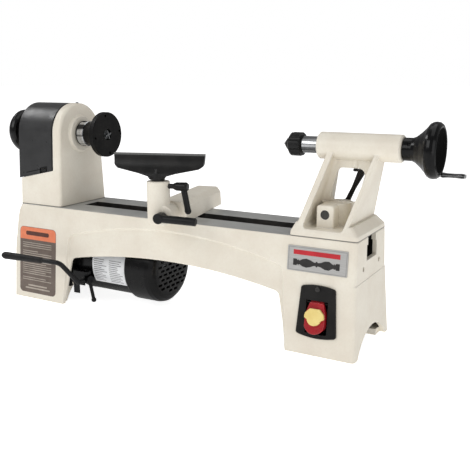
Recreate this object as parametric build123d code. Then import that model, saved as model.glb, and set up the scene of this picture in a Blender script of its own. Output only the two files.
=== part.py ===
"""Bench-top wood lathe with a 10 inch swing, as separate named pieces.

Frame: X = 0 at the middle of the bed with +X towards the tailstock, Y = 0 on the spindle axis
with -Y towards the operator, and Z = 0 on the bench. All sizes are millimetres.
"""

import os
from math import acos, atan2, cos, degrees, hypot, radians, sin, tan

from build123d import *

# Main sizes
SWING_RADIUS = 127.0
BED_TOP = 173.2
SPINDLE_Z = BED_TOP + SWING_RADIUS
RUN = 0.05  # radial clearance of a shaft in its hole

# Bed casting
BED_HALF_WIDTH = 65.2
FOOT_HALF_WIDTH = 81.4
BED_ENDS = [  # height, left end and right end of the bed
    (0.0, -341.0, 329.5), (90.0, -341.0, 324.6), (109.4, -339.4, 323.8), (110.0, -339.0, 323.0),
    (150.0, -334.5, 322.5), (163.0, -331.0, 322.3), (BED_TOP, -325.0, 322.0),
]
BED_WALL = 7.0
CORNER_R = 6.0
DOOR_X = -341.0
DOOR_HINGE_Z = 88.0
DOOR_KNOB_Y = -44.0
WAY_THICKNESS = 12.0
WAY_BOTTOM = BED_TOP - WAY_THICKNESS
TOP_EDGE_R = 2.0
ARCH_EDGE_R = 2.5
SLOT_HALF = 18.6
ARCH_CROWN_Z = 105.0
ARCH_SHOULDER_Z = 85.0
ARCH_SHOULDER_X = 203.0
ARCH_FOOT_X = 221.0
PANEL_CROWN_Z = 157.0
PANEL_SHOULDER_Z = 127.0
PANEL_HALF_LENGTH = 210.0
PANEL_DEPTH = 3.2
LEG_WALL_X = 228.0
BENCH_HOLE_X = 303.0
BENCH_HOLE_Y = 60.0
BENCH_HOLE_R = 4.5
PAD_START_X = 288.0
PAD_START_Y = 45.0
PAD_THICKNESS = 10.0
OUTSIDE = 345.0  # further out than any end of the bed
BED_RIB_XS = [20.0, 115.0]
END_HOLE_Y = 35.5
END_HOLE_Z = 128.0
END_HOLE_R = 4.0
FOOT_ARCH_R = 80.0
FOOT_ARCH_Z = -46.0
DRAFT = atan2(FOOT_HALF_WIDTH - BED_HALF_WIDTH, BED_TOP)

# Headstock and belt cover
HEAD_LEFT = -325.0
HEAD_RIGHT = -231.0
WALL_SPLIT = -248.0
LEFT_WALL_X = -310.0
HEAD_HALF_BASE = 62.0
HEAD_CROWN_R = 54.0
HEAD_BOLT_XS = [-290.0, -266.0]
HEAD_BOLT_Y = 47.0
HEAD_BOLT_R = 4.0
CROWN_SCREW_X = -236.5
SET_SCREW_R = 2.5
COVER_LEFT = -330.0
COVER_SHEET = 3.4
COVER_LOW_Z = 219.0
COVER_HIGH_Z = 237.0
COVER_HINGE_Y = 62.5
COVER_HINGE_Z = 292.0
REAR_WALL_TOP = 284.0
SKIN_INSET = 5.2
COVER_PIN_R = 2.5
COVER_EAR_XS = [-318.0, -257.0]
COVER_KNUCKLE = (-311.8, -263.2)
LATCH_X = (-277.0, -265.0)
BOSS_R = 31.0
BOSS_FACE = -226.0

# Spindle, bearings and pulleys
JOURNAL_R = 12.5
REAR_JOURNAL_R = 10.0
FRONT_BEARING_R = 26.0
REAR_BEARING_R = 23.5
FRONT_BEARING_X = (-247.0, -232.0)
REAR_BEARING_X = (-324.0, -310.5)
COLLAR_R = 22.4
COLLAR_RIGHT = -208.0
NOSE_R = 12.7
NOSE_END = -188.0
SPINDLE_BORE_R = 4.8
FACEPLATE_R = 39.3
FACEPLATE_FACE = -168.5
FACEPLATE_SCREW_R = 2.6
FACEPLATE_SCREW_CIRCLE = 33.0
PULLEY_LEFT = -306.0
PULLEY_STEP = 8.6
SPINDLE_STEPS = [33.3, 44.0, 54.5, 65.0, 75.5, 86.0]
MOTOR_STEPS = [76.7, 66.0, 55.5, 45.0, 34.5, 24.0]
BELT_STEP = 3
BELT_THICKNESS = 3.6
BELT_WIDTH = 7.2
HEAD_WHEEL_R = 40.0
HEAD_WHEEL_SCREW_X = -342.0

# Motor under the bed
MOTOR_Y = 4.0
MOTOR_Z = 73.0
MOTOR_R = 57.5
MOTOR_SHAFT_R = 7.0
MOTOR_CORE = (-188.0, -132.0)
FAN_X = (-82.0, -58.0)
FAN_R = 50.0
MOTOR_LEFT = -199.9
MOTOR_RIGHT = -98.1
FAN_COVER_R = 63.0
FAN_COVER_LEFT = -97.0
FAN_COVER_RIGHT = -38.0
SWING_Y = 59.0
SWING_Z = 76.0
SWING_PIN_R = 5.0
LOCK_Y = -57.0
LOCK_Z = 46.0
LOCK_SCREW_R = 4.0

# Banjo and tool rest
BANJO_TURN = 11.4
COLUMN_Y = -85.8
COLUMN_R = 18.2
COLUMN_BOTTOM = BED_TOP + 0.3
COLUMN_TOP = 240.5
SLAB_LEFT = -14.0
SLAB_RIGHT = 40.0
SLAB_FRONT = 17.0
SLAB_BACK = 190.0
SLAB_TOP = 206.0
BANJO_SHAFT_U = 12.5
BANJO_SHAFT_Z = 186.5
SHAFT_R = 7.0
CAM_R = 5.4
CAM_THROW = 1.2
EYE_BORE_R = CAM_R + CAM_THROW + 0.1
EYE_R = EYE_BORE_R + 3.2
POST_R = 7.9
POST_BOTTOM = BANJO_SHAFT_Z + SHAFT_R + 2.5
REST_TURN = 18.0
REST_HALF_LENGTH = 74.0
REST_TOP = 282.6
REST_LOCK_Z = 233.0

# Tailstock
TAIL_LEFT = 217.0
TAIL_RIGHT = 322.0
TAIL_LEAN = 0.27
TAIL_FLOOR = 184.0
BARREL_R = 20.0
BARREL_LEFT = 236.0
BARREL_RIGHT = 362.0
LEFT_RIB = 10.0
RIGHT_RIB = 6.5
WEB_HALF = 3.2
RIB_LOW_Z = 190.0
RIB_EDGE_R = 2.5
POCKET_R = 6.0
QUILL_R = 12.7
QUILL_FRONT = 209.5
QUILL_BACK = 330.0
TAIL_SHAFT_X = 263.0
TAIL_SHAFT_Z = 203.5
CENTRE_R = 18.0
LEAD_SCREW_R = 6.0
SCREW_LEAD = 2.0
TAIL_WHEEL_R = 39.5
HANDLE_OFFSET = 33.0
HUB_SCREW_X = 372.0
KEY_SCREW_X = 293.0
QUILL_LOCK_X = 268.0

# Switch, badge and labels on the front of the legs
SWITCH_X = 269.0
SWITCH_TOP_Z = 106.0
SWITCH_BOTTOM_Z = 28.0
SWITCH_MIDDLE_Z = (SWITCH_TOP_Z + SWITCH_BOTTOM_Z) / 2
SWITCH_SCREW_Y = 33.5
PADDLE_HINGE_Y = 12.4
PADDLE_SLOPE = 11.3
OPENING_WIDTH = 34.0
OPENING_HEIGHT = 49.4
OPENING_Y = -8.4
KEY_Y = -6.5
KEY_SEAT = 9.1
PLATE_STAND_OFF = 0.05
BADGE_X = 264.0
BADGE_Z = 141.0


def span_box(x, y, z):
    """Box between the two limits given on each axis."""
    middle = Pos((x[0] + x[1]) / 2, (y[0] + y[1]) / 2, (z[0] + z[1]) / 2)
    return middle * Box(x[1] - x[0], y[1] - y[0], z[1] - z[0])


def rod_x(x0, x1, radius, y=0.0, z=SPINDLE_Z):
    """Cylinder along X."""
    return Pos((x0 + x1) / 2, y, z) * Rot(0, 90, 0) * Cylinder(radius, abs(x1 - x0))


def rod_y(y0, y1, radius, x, z):
    """Cylinder along Y."""
    return Pos(x, (y0 + y1) / 2, z) * Rot(90, 0, 0) * Cylinder(radius, abs(y1 - y0))


def rod_z(z0, z1, radius, x=0.0, y=0.0):
    """Cylinder along Z."""
    return Pos(x, y, (z0 + z1) / 2) * Cylinder(radius, abs(z1 - z0))


def turned(points, y=0.0, z=SPINDLE_Z):
    """Solid of revolution about an X-parallel axis, from (x, radius) points."""
    outline = make_face(Polyline(*points, close=True))
    return Pos(0, y, z) * revolve(outline, Axis.X)


def bent_rod(points, bend, radius):
    """Round bar along straight runs joined by arcs."""
    path = FilletPolyline(*points, radius=bend)
    start = path @ 0
    section = Plane(origin=start, z_dir=path % 0) * Circle(radius)
    return sweep(section, path=path)


def bed_section(inset, z):
    """Rounded rectangle across the drafted bed at one height, moved in by an inset."""
    for below, above in zip(BED_ENDS, BED_ENDS[1:]):
        if z <= above[0]:
            break
    share = (z - below[0]) / (above[0] - below[0])
    left = below[1] + (above[1] - below[1]) * share + inset
    right = below[2] + (above[2] - below[2]) * share - inset
    half_width = FOOT_HALF_WIDTH - z * tan(DRAFT) - inset
    corner = max(CORNER_R - inset, 2.0)
    return Pos((left + right) / 2, 0, z) * RectangleRounded(right - left, 2 * half_width, corner)


def bed_block(inset, low, high):
    """Drafted block of the bed, moved in by an inset on every side."""
    heights = [low] + [row[0] for row in BED_ENDS if low < row[0] < high] + [high]
    return loft([bed_section(inset, z) for z in heights], ruled=True)


def front_plane(stand_off=0.0):
    """Plane of the drafted front face of the bed, with its origin at the top edge."""
    normal = Vector(0, -cos(DRAFT), sin(DRAFT))
    origin = Vector(0, -BED_HALF_WIDTH, BED_TOP) + normal * stand_off
    return Plane(origin=origin, x_dir=(1, 0, 0), z_dir=normal)


def on_front(shape, x, z, stand_off=0.0):
    """Shape drawn flat on XY, laid on the front face at (x, z)."""
    return front_plane(stand_off).location * Pos(x, (z - BED_TOP) / cos(DRAFT), 0) * shape


def arch_cutter():
    """Space under the bed between the legs."""
    crown = ThreePointArc(
        (-ARCH_SHOULDER_X, ARCH_SHOULDER_Z), (0, ARCH_CROWN_Z), (ARCH_SHOULDER_X, ARCH_SHOULDER_Z)
    )
    right = Line((ARCH_SHOULDER_X, ARCH_SHOULDER_Z), (ARCH_FOOT_X, -2))
    foot = Line((ARCH_FOOT_X, -2), (-ARCH_FOOT_X, -2))
    left = Line((-ARCH_FOOT_X, -2), (-ARCH_SHOULDER_X, ARCH_SHOULDER_Z))
    outline = make_face([crown, right, foot, left])
    corners = outline.vertices().sort_by(Axis.Y)[-2:]
    outline = fillet(corners, 10)
    return extrude(Plane.XZ * outline, 120, both=True)


def panel_cutter():
    """Shallow arched recess on the front face, above the arch and down the legs' inner edges."""
    top = PANEL_SHOULDER_Z - BED_TOP
    crown = ThreePointArc(
        (-PANEL_HALF_LENGTH, top), (0, PANEL_CROWN_Z - BED_TOP), (PANEL_HALF_LENGTH, top)
    )
    low = -BED_TOP + 8
    right = Line((PANEL_HALF_LENGTH, top), (ARCH_FOOT_X, low))
    foot = Line((ARCH_FOOT_X, low), (-ARCH_FOOT_X, low))
    left = Line((-ARCH_FOOT_X, low), (-PANEL_HALF_LENGTH, top))
    outline = make_face([crown, right, foot, left])
    corners = outline.vertices().sort_by(Axis.Y)[-2:]
    outline = fillet(corners, 16)
    proud = 0.6
    return extrude(front_plane(proud) * outline, -(PANEL_DEPTH + proud), taper=42)


def arched_block():
    """Solid outer form of the bed: drafted block, arch and front and rear panels, edges eased."""
    body = bed_block(0, 0, BED_TOP)
    body = fillet(body.faces().sort_by(Axis.Z)[-1].edges(), TOP_EDGE_R)
    panel = panel_cutter()
    body -= panel
    body -= mirror(panel, Plane.XZ)
    body -= arch_cutter()
    crown = [
        edge for edge in body.edges()
        if ARCH_SHOULDER_Z - 12 < edge.center().Z < ARCH_CROWN_Z + 2
        and abs(edge.center().Y) > BED_HALF_WIDTH
        and abs(edge.center().X) < ARCH_SHOULDER_X + 2
    ]
    return fillet(crown, ARCH_EDGE_R)


def bed():
    """Hollow arched casting with two ways, two legs and bolt pads in the corners."""
    body = arched_block()
    shell = body - bed_block(BED_WALL, -1, WAY_BOTTOM)
    for side in (-1, 1):
        inner_wall = sorted((side * LEG_WALL_X, side * (LEG_WALL_X + BED_WALL)))
        shell += body & span_box(inner_wall, (-90, 90), (0, WAY_BOTTOM + 1))
        for end in (-1, 1):
            pad_x = sorted((side * PAD_START_X, side * OUTSIDE))
            pad = span_box(pad_x, sorted((end * PAD_START_Y, end * 90)), (0, PAD_THICKNESS))
            shell += body & pad
    for x in BED_RIB_XS:
        shell += body & span_box((x - 4, x + 4), (-80, 80), (104, 122))
    shell -= span_box((-214, 340), (-SLOT_HALF, SLOT_HALF), (WAY_BOTTOM - 2, BED_TOP + 2))
    shell -= span_box((300, 340), (-23, 23), (138, WAY_BOTTOM + 0.1))
    shell -= span_box((226, 240), (-37, 37), (140, WAY_BOTTOM + 0.1))
    shell -= span_box((-312, -246), (-38, 38), (WAY_BOTTOM - 2, BED_TOP + 2))
    for side in (-1, 1):
        for end in (-1, 1):
            shell -= rod_z(-1, PAD_THICKNESS + 2, BENCH_HOLE_R, side * BENCH_HOLE_X, end * BENCH_HOLE_Y)
        shell -= rod_x(300, OUTSIDE, END_HOLE_R, side * END_HOLE_Y, END_HOLE_Z)
        shell -= rod_x(side * 320, side * OUTSIDE, FOOT_ARCH_R, 0, FOOT_ARCH_Z)
    shell -= rod_x(-240, -226, 68, 0, -28)
    shell -= rod_y(71, 90, 48, -285, -22)
    shell -= shaft_window()
    shell -= door_opening()
    shell -= on_front(Pos(0, 0, -6) * Box(40, 58, 30), SWITCH_X, 61)
    shell -= on_front(Pos(0, SWITCH_SCREW_Y, 0) * Cylinder(2.2 + RUN, 30), SWITCH_X, SWITCH_MIDDLE_Z)
    shell -= rod_x(-250, -200, SWING_PIN_R + RUN, SWING_Y, SWING_Z)
    shell -= rod_x(-250, -200, LOCK_SCREW_R + RUN, LOCK_Y, LOCK_Z)
    for x in HEAD_BOLT_XS:
        for side in (-1, 1):
            shell -= rod_z(WAY_BOTTOM - 2, BED_TOP + 1, HEAD_BOLT_R + 2 * RUN, x, side * HEAD_BOLT_Y)
    return shell


def shaft_window():
    """Slot in the left leg's inner wall that the motor shaft swings in."""
    low = rod_x(-240, -222, 20, MOTOR_Y, MOTOR_Z)
    high = rod_x(-240, -222, 20, MOTOR_Y, MOTOR_Z + 9)
    middle = span_box((-240, -222), (MOTOR_Y - 20, MOTOR_Y + 20), (MOTOR_Z, MOTOR_Z + 9))
    return low + high + middle


def door_plane():
    """Plane of the left leg's end face, with its origin at the middle of the door's hinge."""
    return Plane(origin=(DOOR_X, 0, DOOR_HINGE_Z), x_dir=(0, -1, 0), z_dir=(-1, 0, 0))


def door_opening():
    """Opening in the left end face that gives access to the motor pulley."""
    hole = Pos(0, -24, 0) * Box(66, 30, 40)
    hole += Pos(0, DOOR_KNOB_Y, 0) * Cylinder(4.2, 20)
    return door_plane().location * hole


def leg_door():
    """Flap over the opening, hinged on a pin at its top edge."""
    plate = Pos(0, -25.5, 0.4) * extrude(RectangleRounded(84, 51, 5), 2.6)
    knuckle = Pos(0, 0, 4.4) * Rot(0, 90, 0) * Cylinder(3.6, 40)
    flap = plate + knuckle - Pos(0, 0, 4.4) * Rot(0, 90, 0) * Cylinder(1.5 + RUN, 60)
    flap -= Pos(0, DOOR_KNOB_Y, 2) * Cylinder(3.0 + RUN, 12)
    for side in (-1, 1):
        flap -= Pos(side * 25.5, 0, 3) * Box(9, 11, 9)
    return door_plane().location * flap


def door_pin():
    """Hinge pin of the leg door, with the two ears that hold it."""
    hinge = Pos(0, 0, 4.4) * Rot(0, 90, 0) * Cylinder(1.5, 58)
    for side in (-1, 1):
        hinge += Pos(side * 25.5, -0.5, 3.2) * Box(7, 7, 6.4)
    return door_plane().location * hinge


def door_knob():
    """Knurled knob that holds the door shut."""
    grip = Pos(0, DOOR_KNOB_Y, 7.2) * Cylinder(7.5, 8)
    stem = Pos(0, DOOR_KNOB_Y, 0.6) * Cylinder(3.0, 6)
    return door_plane().location * (grip + stem)


def arch_face(half_base, radius):
    """Upright arch on the YZ plane: straight drafted sides that run tangent into a round crown."""
    reach = hypot(half_base, SWING_RADIUS)
    angle = acos(radius / reach) - atan2(SWING_RADIUS, half_base)
    side = (radius * cos(angle), SPINDLE_Z + radius * sin(angle))
    crown = ThreePointArc((-side[0], side[1]), (0, SPINDLE_Z + radius), side)
    right = Line(side, (half_base, BED_TOP))
    base = Line((half_base, BED_TOP), (-half_base, BED_TOP))
    left = Line((-half_base, BED_TOP), (-side[0], side[1]))
    return make_face([crown, right, base, left])


def arch_prism(half_base, radius, x0, x1):
    """Arch extruded along X."""
    return Pos(x0, 0, 0) * extrude(Plane.YZ * arch_face(half_base, radius), x1 - x0)


def above_cover_line(shift, x_right):
    """Everything above the belt cover's slanted lower edge, as far right as x_right."""
    slope = (COVER_HIGH_Z - COVER_LOW_Z) / (WALL_SPLIT - COVER_LEFT)
    x_left = COVER_LEFT - 10
    left_z = COVER_LOW_Z - 10 * slope + shift
    right_z = COVER_LOW_Z + (x_right - COVER_LEFT) * slope + shift
    outline = make_face(
        Polyline((x_left, left_z), (x_right, right_z), (x_right, 420), (x_left, 420), close=True)
    )
    return extrude(Plane.XZ * outline, 120, both=True)


def headstock():
    """Painted casting that holds the spindle: base box, two bearing walls and the front boss."""
    full = arch_prism(HEAD_HALF_BASE, HEAD_CROWN_R, HEAD_LEFT, HEAD_RIGHT)
    rim = full.edges().group_by(Axis.X)[-1].sort_by(Axis.Z)[1:]
    full = fillet(rim, 5)
    skin = arch_prism(80, 72, COVER_LEFT - 5, WALL_SPLIT)
    skin -= arch_prism(HEAD_HALF_BASE - SKIN_INSET, HEAD_CROWN_R - SKIN_INSET, COVER_LEFT - 6, WALL_SPLIT + 1)
    rear = span_box((COVER_LEFT - 20, WALL_SPLIT + 20), (0, 130), (150, REAR_WALL_TOP))
    cleared = above_cover_line(0, WALL_SPLIT) - rear
    full -= cleared & skin
    full -= cleared & span_box((LEFT_WALL_X, WALL_SPLIT), (-90, 90), (180, 400))
    full -= arch_prism(HEAD_HALF_BASE - 7, HEAD_CROWN_R - 7, LEFT_WALL_X, WALL_SPLIT)
    full -= span_box((HEAD_LEFT + 9, WALL_SPLIT), (-54, 54), (BED_TOP - 1, COVER_HIGH_Z))
    full -= span_box((HEAD_LEFT + 9, HEAD_RIGHT - 8), (-48, 48), (BED_TOP - 1, 225))
    boss = turned([(HEAD_RIGHT - 1, 0), (HEAD_RIGHT - 1, BOSS_R + 3), (HEAD_RIGHT + 1.5, BOSS_R + 0.5),
                   (BOSS_FACE - 1, BOSS_R), (BOSS_FACE, BOSS_R - 1), (BOSS_FACE, 0)])
    full += boss
    full += rod_x(WALL_SPLIT - 3, WALL_SPLIT, 33)
    full -= rod_x(WALL_SPLIT - 4, HEAD_RIGHT, FRONT_BEARING_R + RUN)
    full -= rod_x(HEAD_RIGHT - 1, BOSS_FACE + 1, 17)
    full -= rod_x(HEAD_LEFT - 1, LEFT_WALL_X + 1, REAR_BEARING_R + RUN)
    for x in HEAD_BOLT_XS:
        for side in (-1, 1):
            full += span_box((x - 8, x + 8), sorted((side * 40, side * 56)), (BED_TOP, BED_TOP + 12))
            full -= rod_z(BED_TOP - 1, BED_TOP + 13, HEAD_BOLT_R + 2 * RUN, x, side * HEAD_BOLT_Y)
    full -= rod_z(340, 360, SET_SCREW_R + RUN, CROWN_SCREW_X, 0)
    for x in COVER_EAR_XS:
        knuckle = rod_x(x - 5, x + 5, 5.2, COVER_HINGE_Y, COVER_HINGE_Z)
        full += hinge_ear(x)
        full += knuckle
    full -= rod_x(-330, -240, COVER_PIN_R + RUN, COVER_HINGE_Y, COVER_HINGE_Z)
    return full


def hinge_ear(x):
    """Arm that carries a hinge knuckle up from the top of the rear wall."""
    outline = make_face(Polyline(
        (51, REAR_WALL_TOP - 12), (55, REAR_WALL_TOP - 14), (COVER_HINGE_Y + 5, COVER_HINGE_Z - 2),
        (COVER_HINGE_Y + 5, COVER_HINGE_Z), (COVER_HINGE_Y - 5, COVER_HINGE_Z), (51, REAR_WALL_TOP),
        close=True))
    return Pos(x - 5, 0, 0) * extrude(Plane.YZ * outline, 10)


def headstock_screws():
    """Four cap screws down through the headstock's feet into the ways, and the crown's set screw."""
    bolts = [crown_screw()]
    for x in HEAD_BOLT_XS:
        for y in (-HEAD_BOLT_Y, HEAD_BOLT_Y):
            shank = rod_z(WAY_BOTTOM - 2, BED_TOP + 16, HEAD_BOLT_R, x, y)
            head = rod_z(BED_TOP + 12.1, BED_TOP + 18, 1.5 * HEAD_BOLT_R, x, y)
            bolts.append(shank + head)
    return Compound(children=bolts)


def crown_screw():
    """Socket set screw in the top of the front bearing wall."""
    crown = SPINDLE_Z + HEAD_CROWN_R
    screw = rod_z(crown - 12, crown + 1.3, SET_SCREW_R, CROWN_SCREW_X, 0)
    socket = Pos(CROWN_SCREW_X, 0, crown) * extrude(RegularPolygon(1.4, 6), 3)
    return screw - socket


def belt_cover():
    """Bent sheet over the belt, from the slanted front edge over the crown to the rear hinge."""
    outer = arch_prism(HEAD_HALF_BASE, HEAD_CROWN_R, COVER_LEFT, WALL_SPLIT - 0.8)
    inner = arch_prism(
        HEAD_HALF_BASE - COVER_SHEET, HEAD_CROWN_R - COVER_SHEET, COVER_LEFT - 1, WALL_SPLIT + 1
    )
    sheet = (outer - inner) & above_cover_line(0.8, WALL_SPLIT)
    sheet -= span_box((-340, -240), (20, 90), (200, COVER_HINGE_Z - 1))
    sheet -= span_box((LATCH_X[0] - 2, LATCH_X[1] + 2), (-80, -40), (200, 240))
    for x in COVER_EAR_XS:
        sheet -= span_box((x - 5.6, x + 5.6), (50, 80), (200, COVER_HINGE_Z + 7))
    knuckle = rod_x(*COVER_KNUCKLE, 4.6, COVER_HINGE_Y, COVER_HINGE_Z)
    web = span_box(COVER_KNUCKLE, (51, COVER_HINGE_Y), (COVER_HINGE_Z - 1, COVER_HINGE_Z + 3.5))
    web -= arch_prism(HEAD_HALF_BASE - 1.5, HEAD_CROWN_R - 1.5, -400, -200)
    sheet += knuckle + web
    return sheet - rod_x(-330, -240, COVER_PIN_R + RUN, COVER_HINGE_Y, COVER_HINGE_Z)


def cover_latch():
    """Spring tongue inside the wall that fills the notch of the cover's front edge."""
    foot = span_box(LATCH_X, (-53.9, -51.4), (222, 236.2))
    bridge = span_box(LATCH_X, (-57.6, -51.4), (234.0, 236.2))
    tongue = span_box(LATCH_X, (-57.6, -55.6), (234.0, 239.4))
    return foot + bridge + tongue


def bearing(x0, x1, inner, outer):
    """Ball bearing as two rings, shields recessed between them, and the bore."""
    mid = (inner + outer) / 2
    ring = turned([(x0, inner + RUN), (x0, inner + 3.5), (x0 + 0.8, inner + 3.5), (x0 + 0.8, outer - 3.5),
                   (x0, outer - 3.5), (x0, outer), (x1, outer), (x1, outer - 3.5),
                   (x1 - 0.8, outer - 3.5), (x1 - 0.8, mid), (x1 - 0.8, inner + 3.5), (x1, inner + 3.5),
                   (x1, inner + RUN)])
    return ring


def spindle():
    """Hollow spindle with its journals, chrome collar, threaded nose and taper socket."""
    body = turned([
        (-358, 0), (-358, 8.5), (-327, 8.5), (-327, REAR_JOURNAL_R), (-309, REAR_JOURNAL_R),
        (-309, JOURNAL_R), (BOSS_FACE + 0.6, JOURNAL_R), (BOSS_FACE + 0.6, COLLAR_R - 2.4),
        (BOSS_FACE + 2.2, COLLAR_R - 2.4), (BOSS_FACE + 3.0, COLLAR_R), (COLLAR_RIGHT - 0.8, COLLAR_R),
        (COLLAR_RIGHT, COLLAR_R - 0.8), (COLLAR_RIGHT, NOSE_R), (NOSE_END, NOSE_R), (NOSE_END, 0),
    ])
    body -= rod_x(-360, -180, SPINDLE_BORE_R)
    taper = turned([(NOSE_END - 62, 0), (NOSE_END - 62, 7.2), (NOSE_END + 1, 8.9), (NOSE_END + 1, 0)])
    for z in (-1, 1):
        flat = span_box((BOSS_FACE + 5, COLLAR_RIGHT - 2), (-12, 12),
                        sorted((SPINDLE_Z + z * (COLLAR_R - 1.6), SPINDLE_Z + z * (COLLAR_R + 2))))
        body -= flat
    return body - taper


def spindle_pulley():
    """Six-step grooved pulley on the spindle, smallest step to the left."""
    return stepped_pulley(SPINDLE_STEPS, JOURNAL_R + RUN, 0, SPINDLE_Z)


def motor_pulley():
    """Six-step grooved pulley on the motor shaft, largest step to the left."""
    return stepped_pulley(MOTOR_STEPS, MOTOR_SHAFT_R + RUN, MOTOR_Y, MOTOR_Z)


def stepped_pulley(diameters, bore, y, z):
    """Pulley with one grooved land for each diameter."""
    points = [(PULLEY_LEFT, bore)]
    for index, diameter in enumerate(diameters):
        x = PULLEY_LEFT + index * PULLEY_STEP
        land = diameter / 2
        rim = land + 1.2
        points += [(x, rim), (x + 0.7, rim), (x + 0.7, land)]
        for groove in range(3):
            start = x + 0.7 + groove * 2.4
            points += [(start + 1.2, land - 1.3), (start + 2.4, land)]
        points.append((x + PULLEY_STEP, land))
    right = PULLEY_LEFT + len(diameters) * PULLEY_STEP
    last = diameters[-1] / 2 + 1.2
    points += [(right, last), (right + 1.0, last), (right + 1.0, bore)]
    return turned(points, y, z)


def drive_belt():
    """Ribbed belt round one pair of pulley steps."""
    x0 = PULLEY_LEFT + BELT_STEP * PULLEY_STEP + 0.9
    top_r = SPINDLE_STEPS[BELT_STEP] / 2 + 0.2
    low_r = MOTOR_STEPS[BELT_STEP] / 2 + 0.2
    outer = belt_loop(top_r + BELT_THICKNESS, low_r + BELT_THICKNESS)
    inner = belt_loop(top_r, low_r)
    return Pos(x0, 0, 0) * extrude(Plane.YZ * (outer - inner), BELT_WIDTH)


def belt_loop(top_r, low_r):
    """Outline round two circles and the two straight runs between them."""
    dy = MOTOR_Y
    dz = MOTOR_Z - SPINDLE_Z
    reach = hypot(dy, dz)
    spread = acos((top_r - low_r) / reach)
    heading = atan2(dz, dy)
    ends = []
    for side in (1, -1):
        angle = heading + side * spread
        ends.append([
            (top_r * cos(angle), SPINDLE_Z + top_r * sin(angle)),
            (MOTOR_Y + low_r * cos(angle), MOTOR_Z + low_r * sin(angle)),
        ])
    strip = make_face(Polyline(ends[0][0], ends[0][1], ends[1][1], ends[1][0], close=True))
    return strip + Pos(0, SPINDLE_Z) * Circle(top_r) + Pos(MOTOR_Y, MOTOR_Z) * Circle(low_r)


def faceplate():
    """Cast faceplate screwed on the spindle nose, with four screw holes."""
    back = COLLAR_RIGHT + 0.2
    body = turned([
        (back, 0), (back, 20.0), (back + 1.2, 21.2), (-201, 21.6), (-190, 23.0), (-183, 26.0), (-179.8, 30.0),
        (-178.8, FACEPLATE_R - 1.0), (-177.8, FACEPLATE_R), (FACEPLATE_FACE - 1.0, FACEPLATE_R),
        (FACEPLATE_FACE, FACEPLATE_R - 1.0), (FACEPLATE_FACE, 0),
    ])
    body -= rod_x(back - 1, NOSE_END + 1, NOSE_R + RUN)
    body -= rod_x(NOSE_END, FACEPLATE_FACE + 1, 9.6)
    for index in range(4):
        angle = radians(8 + 90 * index)
        body -= rod_x(-190, FACEPLATE_FACE + 1, FACEPLATE_SCREW_R,
                      FACEPLATE_SCREW_CIRCLE * cos(angle), SPINDLE_Z + FACEPLATE_SCREW_CIRCLE * sin(angle))
    return body


def spur_centre():
    """Drive centre in the spindle's taper: a point and four spurs."""
    body = turned([
        (-240, 0), (-240, 7.4), (NOSE_END, 8.8), (NOSE_END + 1, 8.8), (NOSE_END + 1, 8.0),
        (-172, 8.0), (-172, 2.6), (-167, 2.4), (-161.5, 0),
    ])
    for index in range(4):
        spur = span_box((-174, -166.5), (-0.9, 0.9), (2.0, 7.6))
        body += Pos(0, 0, SPINDLE_Z) * Rot(90 * index + 20, 0, 0) * spur
    return body


def head_wheel():
    """Handwheel on the spindle's left end: dished, with a thick round rim."""
    outline = [
        (-334, 8.5 + RUN), (-334, 15), (-349, 15.5), (-353, 20), (-356.5, 27), (-357, 33), (-357, 36.5),
        (-359.5, 39.2), (-364, HEAD_WHEEL_R), (-369, 39.4), (-373, 36.8), (-374.4, 33.5), (-373, 30.5),
        (-368.5, 28), (-364.5, 22), (-363.5, 15), (-363.5, 8.5 + RUN),
    ]
    wheel = turned(outline)
    return wheel - Pos(HEAD_WHEEL_SCREW_X, 0, SPINDLE_Z + 12) * Cylinder(2.5, 12)


def motor_body():
    """Motor's rolled steel barrel."""
    barrel = rod_x(MOTOR_LEFT, MOTOR_RIGHT, MOTOR_R, MOTOR_Y, MOTOR_Z)
    return barrel - rod_x(MOTOR_LEFT - 1, MOTOR_RIGHT + 1, MOTOR_R - 3, MOTOR_Y, MOTOR_Z)


def motor_stator():
    """Laminated stator ring pressed in the barrel."""
    left, right = MOTOR_CORE
    ring = rod_x(left - 2, right + 2, MOTOR_R - 3.05, MOTOR_Y, MOTOR_Z)
    return ring - rod_x(left - 3, right + 3, 33, MOTOR_Y, MOTOR_Z)


def motor_front_bell():
    """End bell with the front bearing seat, bolted to the motor plate."""
    bell = turned([
        (-208, 0), (-208, MOTOR_R + 0.4), (-200, MOTOR_R + 0.4), (-200, MOTOR_R - 3.1), (-196, MOTOR_R - 3.1),
        (-196, 46), (-204, 40), (-204, 16), (-196, 16), (-196, 0),
    ], MOTOR_Y, MOTOR_Z)
    return bell - rod_x(-210, -190, MOTOR_SHAFT_R + RUN, MOTOR_Y, MOTOR_Z)


def motor_rear_bell():
    """End bell with the rear bearing seat, under the fan cover."""
    bell = turned([
        (-104, 0), (-104, MOTOR_R - 3.1), (-98, MOTOR_R - 3.1), (-98, MOTOR_R + 0.4), (-90, MOTOR_R - 2),
        (-86, 20), (-86, 0),
    ], MOTOR_Y, MOTOR_Z)
    return bell - rod_x(-110, -80, MOTOR_SHAFT_R + RUN, MOTOR_Y, MOTOR_Z)


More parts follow.
